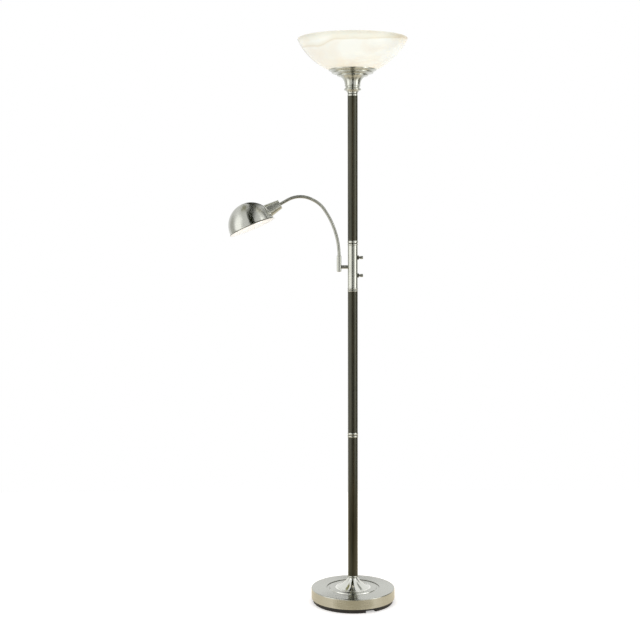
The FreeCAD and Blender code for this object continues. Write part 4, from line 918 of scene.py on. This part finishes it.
def neckPiece(name, samples, low, high):
    step = neck["pitch"] / neck["stepsEach"]
    count = max(int(round((high - low) / step)), 2)
    lengths = [s[0] for s in samples]
    work = bmesh.new()
    hoops = []
    place = 0
    for i in range(count + 1):
        gone = low + (high - low) * i / count
        while place < len(lengths) - 2 and lengths[place + 1] < gone:
            place += 1
        a, b = samples[place], samples[place + 1]
        t = (gone - a[0]) / max(b[0] - a[0], 1e-9)
        spot = a[1].lerp(b[1], t)
        ahead = a[2].lerp(b[2], t).normalized()
        flat = Vector((0, 1, 0))
        out = ahead.cross(flat)
        hoop = []
        for k in range(neck["round"]):
            angle = 2 * math.pi * k / neck["round"]
            phase = (gone / neck["pitch"] + k / neck["round"]) % 1
            r = neck["radius"] - neck["ridge"] * (abs(2 * phase - 1) ** 3)
            hoop.append(work.verts.new((spot + (flat * math.cos(angle) + out * math.sin(angle)) * r) * mm))
        hoops.append(hoop)
    along = work.loops.layers.uv.new("alongNeck")
    for i, (a, b) in enumerate(zip(hoops, hoops[1:])):
        for k in range(neck["round"]):
            n = (k + 1) % neck["round"]
            face = work.faces.new((a[k], a[n], b[n], b[k]))
            for loop, (row, column) in zip(face.loops, ((i, k), (i, k + 1), (i + 1, k + 1), (i + 1, k))):
                loop[along].uv = (row * step * neck["mapStep"], column / neck["round"])
    return meshPiece(name, work, ["nickelStrip"])


def buildGooseneck():
    samples, joints = neckRoute()
    total = samples[-1][0]
    middles = [(a[0] + b[0]) / 2 for a, b in zip(joints, joints[1:])]
    cuts = [0.0] + middles + [total]
    pairs = (("arm_root", "arm_lower"), ("arm_lower", "arm_upper"), ("arm_upper", "head"))
    nodes = (("gooseneck_root", "gooseneck_lower"), ("gooseneck_upper",), ("gooseneck_tip",))
    for i, (names, joint) in enumerate(zip(pairs, joints)):
        piece = neckPiece(f"woundNeck{i + 1}", samples, cuts[i], cuts[i + 1])
        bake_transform(piece)
        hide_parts(*nodes[i])


buildGooseneck()
print("gooseneck built")

# studio: sizes in metres

studio = {
    "air": "FAFAFF", "worldLight": 0.62,        # light that falls on the object
    "floorSize": 3.2,
    "paper": "F4F0EA", "paperGlow": 0.42,       # the floor as it is seen
    "buff": "F0E4CC", "buffGlow": 0.28,         # the floor as metal and glass show it
    "lampAim": (0, 0, 1),
}
# place, size and watts
lamps = {
    "keyLeft": ((-2.4, -2.3, 2.5), (1.4, 2.4), 32),
    "fillRight": ((2.3, -2.6, 1.6), (1.2, 2.2), 32),
    "topSoft": ((0, 0.4, 3.6), (1.6, 1.6), 24),
}
# cards that only the metal shows: degrees from the front to the right, grey, strength, and the edges
# as (left, right, away, up)
cards = {
    "darkLow": (0, "1C200E", 1, [(-0.66, 0.95, 3, -0.6), (-0.66, 0.95, 3, 0.55)]),
    "darkNear": (0, "1C200E", 1, [(-0.22, 0.32, 1, 0.5), (-0.22, 0.32, 1, 1.22)]),
    "darkArch": (0, "1C200E", 1, [
        (-0.66, 0.95, 3, 1.22), (-0.66, 0.95, 3, 2), (-1.2, 0.6, 3, 3.3), (-1.3, 0.55, 1.2, 4),
        (-0.7, 0.5, -0.2, 4), (-0.7, 0.5, -1.8, 4), (-0.8, 0.15, -3, 1.7)]),
    "oliveOver": (0, "8E8B5E", 1, [(-2.5, -1.25, 0, 3.95), (-1.6, -0.9, -2, 3.95)]),
    "greyOver": (0, "9A9C98", 1, [(2.1, 3.4, 0, 3.95), (1.3, 2.2, -2.4, 3.95)]),
    "darkFloor": (3, "26261E", 1, [(-0.5, 0.5, 0.5, 0.006), (-0.34, 0.34, 2.9, 0.006)]),
    "buffFloor": (0, "DACEB2", 1, [(-0.13, 0.13, 0.15, 0.006), (-0.13, 0.13, 0.5, 0.006)]),
    "dimFloorLeft": (-62, "7C786A", 1, [(-0.5, 0.5, 0.7, 0.006), (-0.9, 0.9, 1.55, 0.006)]),
    "dimFloorRight": (62, "7C786A", 1, [(-0.5, 0.5, 0.7, 0.006), (-0.9, 0.9, 1.55, 0.006)]),
    "brightLeft": (-69, "FFFFFF", 1.85, [(-0.8, 0.8, 2.6, -0.6), (-0.8, 0.8, 2.6, 3)]),
    "brightRight": (66, "FFFFFF", 1.8, [(-0.7, 0.7, 2.6, -0.6), (-0.7, 0.7, 2.6, 3)]),
    "stripRight": (62, "FFFFFF", 3.5, [(-0.13, 0.13, 2.5, 0.4), (-0.13, 0.13, 2.5, 3)]),
    "greyLeft": (-108, "D8D8D4", 1, [(-0.65, 0.65, 2.6, -0.6), (-0.65, 0.65, 2.6, 2.2)]),
    "greyRight": (105, "707068", 1, [(-1, 1, 2.6, -0.6), (-1, 1, 2.6, 2)]),
}


def buildWorld():
    # white to the camera, metal and glass; a plain pale light for everything else
    world = bpy.data.worlds.new("paleStudio")
    bpy.context.scene.world = world
    tree = emptyTree(world)
    path = addNode(tree, "ShaderNodeLightPath").outputs
    seen = addNode(tree, "ShaderNodeMath", {"operation": "MAXIMUM"},
                   {0: path["Is Camera Ray"], 1: path["Is Glossy Ray"]})
    seen = addNode(tree, "ShaderNodeMath", {"operation": "MAXIMUM"},
                   {0: seen, 1: path["Is Transmission Ray"]})
    back = addNode(tree, "ShaderNodeBackground", {"Color": (1, 1, 1, 1), "Strength": 1})
    light = addNode(tree, "ShaderNodeBackground",
                    {"Color": linear(studio["air"]), "Strength": studio["worldLight"]})
    mix = addNode(tree, "ShaderNodeMixShader", None, {0: seen, 1: light, 2: back})
    addNode(tree, "ShaderNodeOutputWorld", None, {"Surface": mix})


def stagePiece(name, work):
    mesh = bpy.data.meshes.new(name)
    work.to_mesh(mesh)
    work.free()
    thing = bpy.data.objects.new(name, mesh)
    bpy.context.collection.objects.link(thing)
    return thing


def buildFloor():
    work = bmesh.new()
    bmesh.ops.create_grid(work, x_segments=8, y_segments=8, size=studio["floorSize"] / 2)
    floor = stagePiece("paleFloor", work)
    # matt paper, lifted to white for the camera and warmed for metal and glass
    material = bpy.data.materials.new("palePaper")
    tree = emptyTree(material)
    path = addNode(tree, "ShaderNodeLightPath").outputs
    paper = addNode(tree, "ShaderNodeBsdfDiffuse", {"Color": linear(studio["paper"])})
    white = addNode(tree, "ShaderNodeEmission", {"Color": (1, 1, 1, 1), "Strength": studio["paperGlow"]})
    buff = addNode(tree, "ShaderNodeBsdfDiffuse", {"Color": linear(studio["buff"])})
    cream = addNode(tree, "ShaderNodeEmission",
                    {"Color": linear(studio["buff"]), "Strength": studio["buffGlow"]})
    lifted = addNode(tree, "ShaderNodeAddShader", None, {0: paper, 1: white})
    warmed = addNode(tree, "ShaderNodeAddShader", None, {0: buff, 1: cream})
    mirrored = addNode(tree, "ShaderNodeMath", {"operation": "MAXIMUM"},
                       {0: path["Is Glossy Ray"], 1: path["Is Transmission Ray"]})
    first = addNode(tree, "ShaderNodeMixShader", None, {0: mirrored, 1: paper, 2: warmed})
    last = addNode(tree, "ShaderNodeMixShader", None, {0: path["Is Camera Ray"], 1: first, 2: lifted})
    addNode(tree, "ShaderNodeOutputMaterial", None, {"Surface": last})
    floor.data.materials.append(material)


def softbox(name, spot, size, watts):
    data = bpy.data.lights.new(name, "AREA")
    data.shape = "RECTANGLE"
    data.size, data.size_y = size
    data.energy = watts
    lamp = bpy.data.objects.new(name, data)
    lamp.location = spot
    lamp.rotation_euler = (Vector(studio["lampAim"]) - Vector(spot)).to_track_quat("-Z", "Y").to_euler()
    lamp.visible_glossy = False
    bpy.context.collection.objects.link(lamp)


def card(name, heading, grey, strength, rows):
    work = bmesh.new()
    edges = [[work.verts.new((x, -away, up)) for x in (left, right)] for left, right, away, up in rows]
    for a, b in zip(edges, edges[1:]):
        work.faces.new((a[0], a[1], b[1], b[0]))
    board = stagePiece(name, work)
    board.rotation_euler = (0, 0, math.radians(heading))
    material = bpy.data.materials.new(name)
    tree = emptyTree(material)
    glow = addNode(tree, "ShaderNodeEmission", {"Color": linear(grey), "Strength": strength})
    addNode(tree, "ShaderNodeOutputMaterial", None, {"Surface": glow})
    board.data.materials.append(material)
    board.visible_camera = False
    board.visible_diffuse = False
    board.visible_shadow = False
    board.visible_transmission = False


buildWorld()
buildFloor()
for name, sizes in lamps.items():
    softbox(name, *sizes)
for name, sizes in cards.items():
    card(name, *sizes)
print("studio built")

bpy.context.scene.view_settings.view_transform = "Standard"
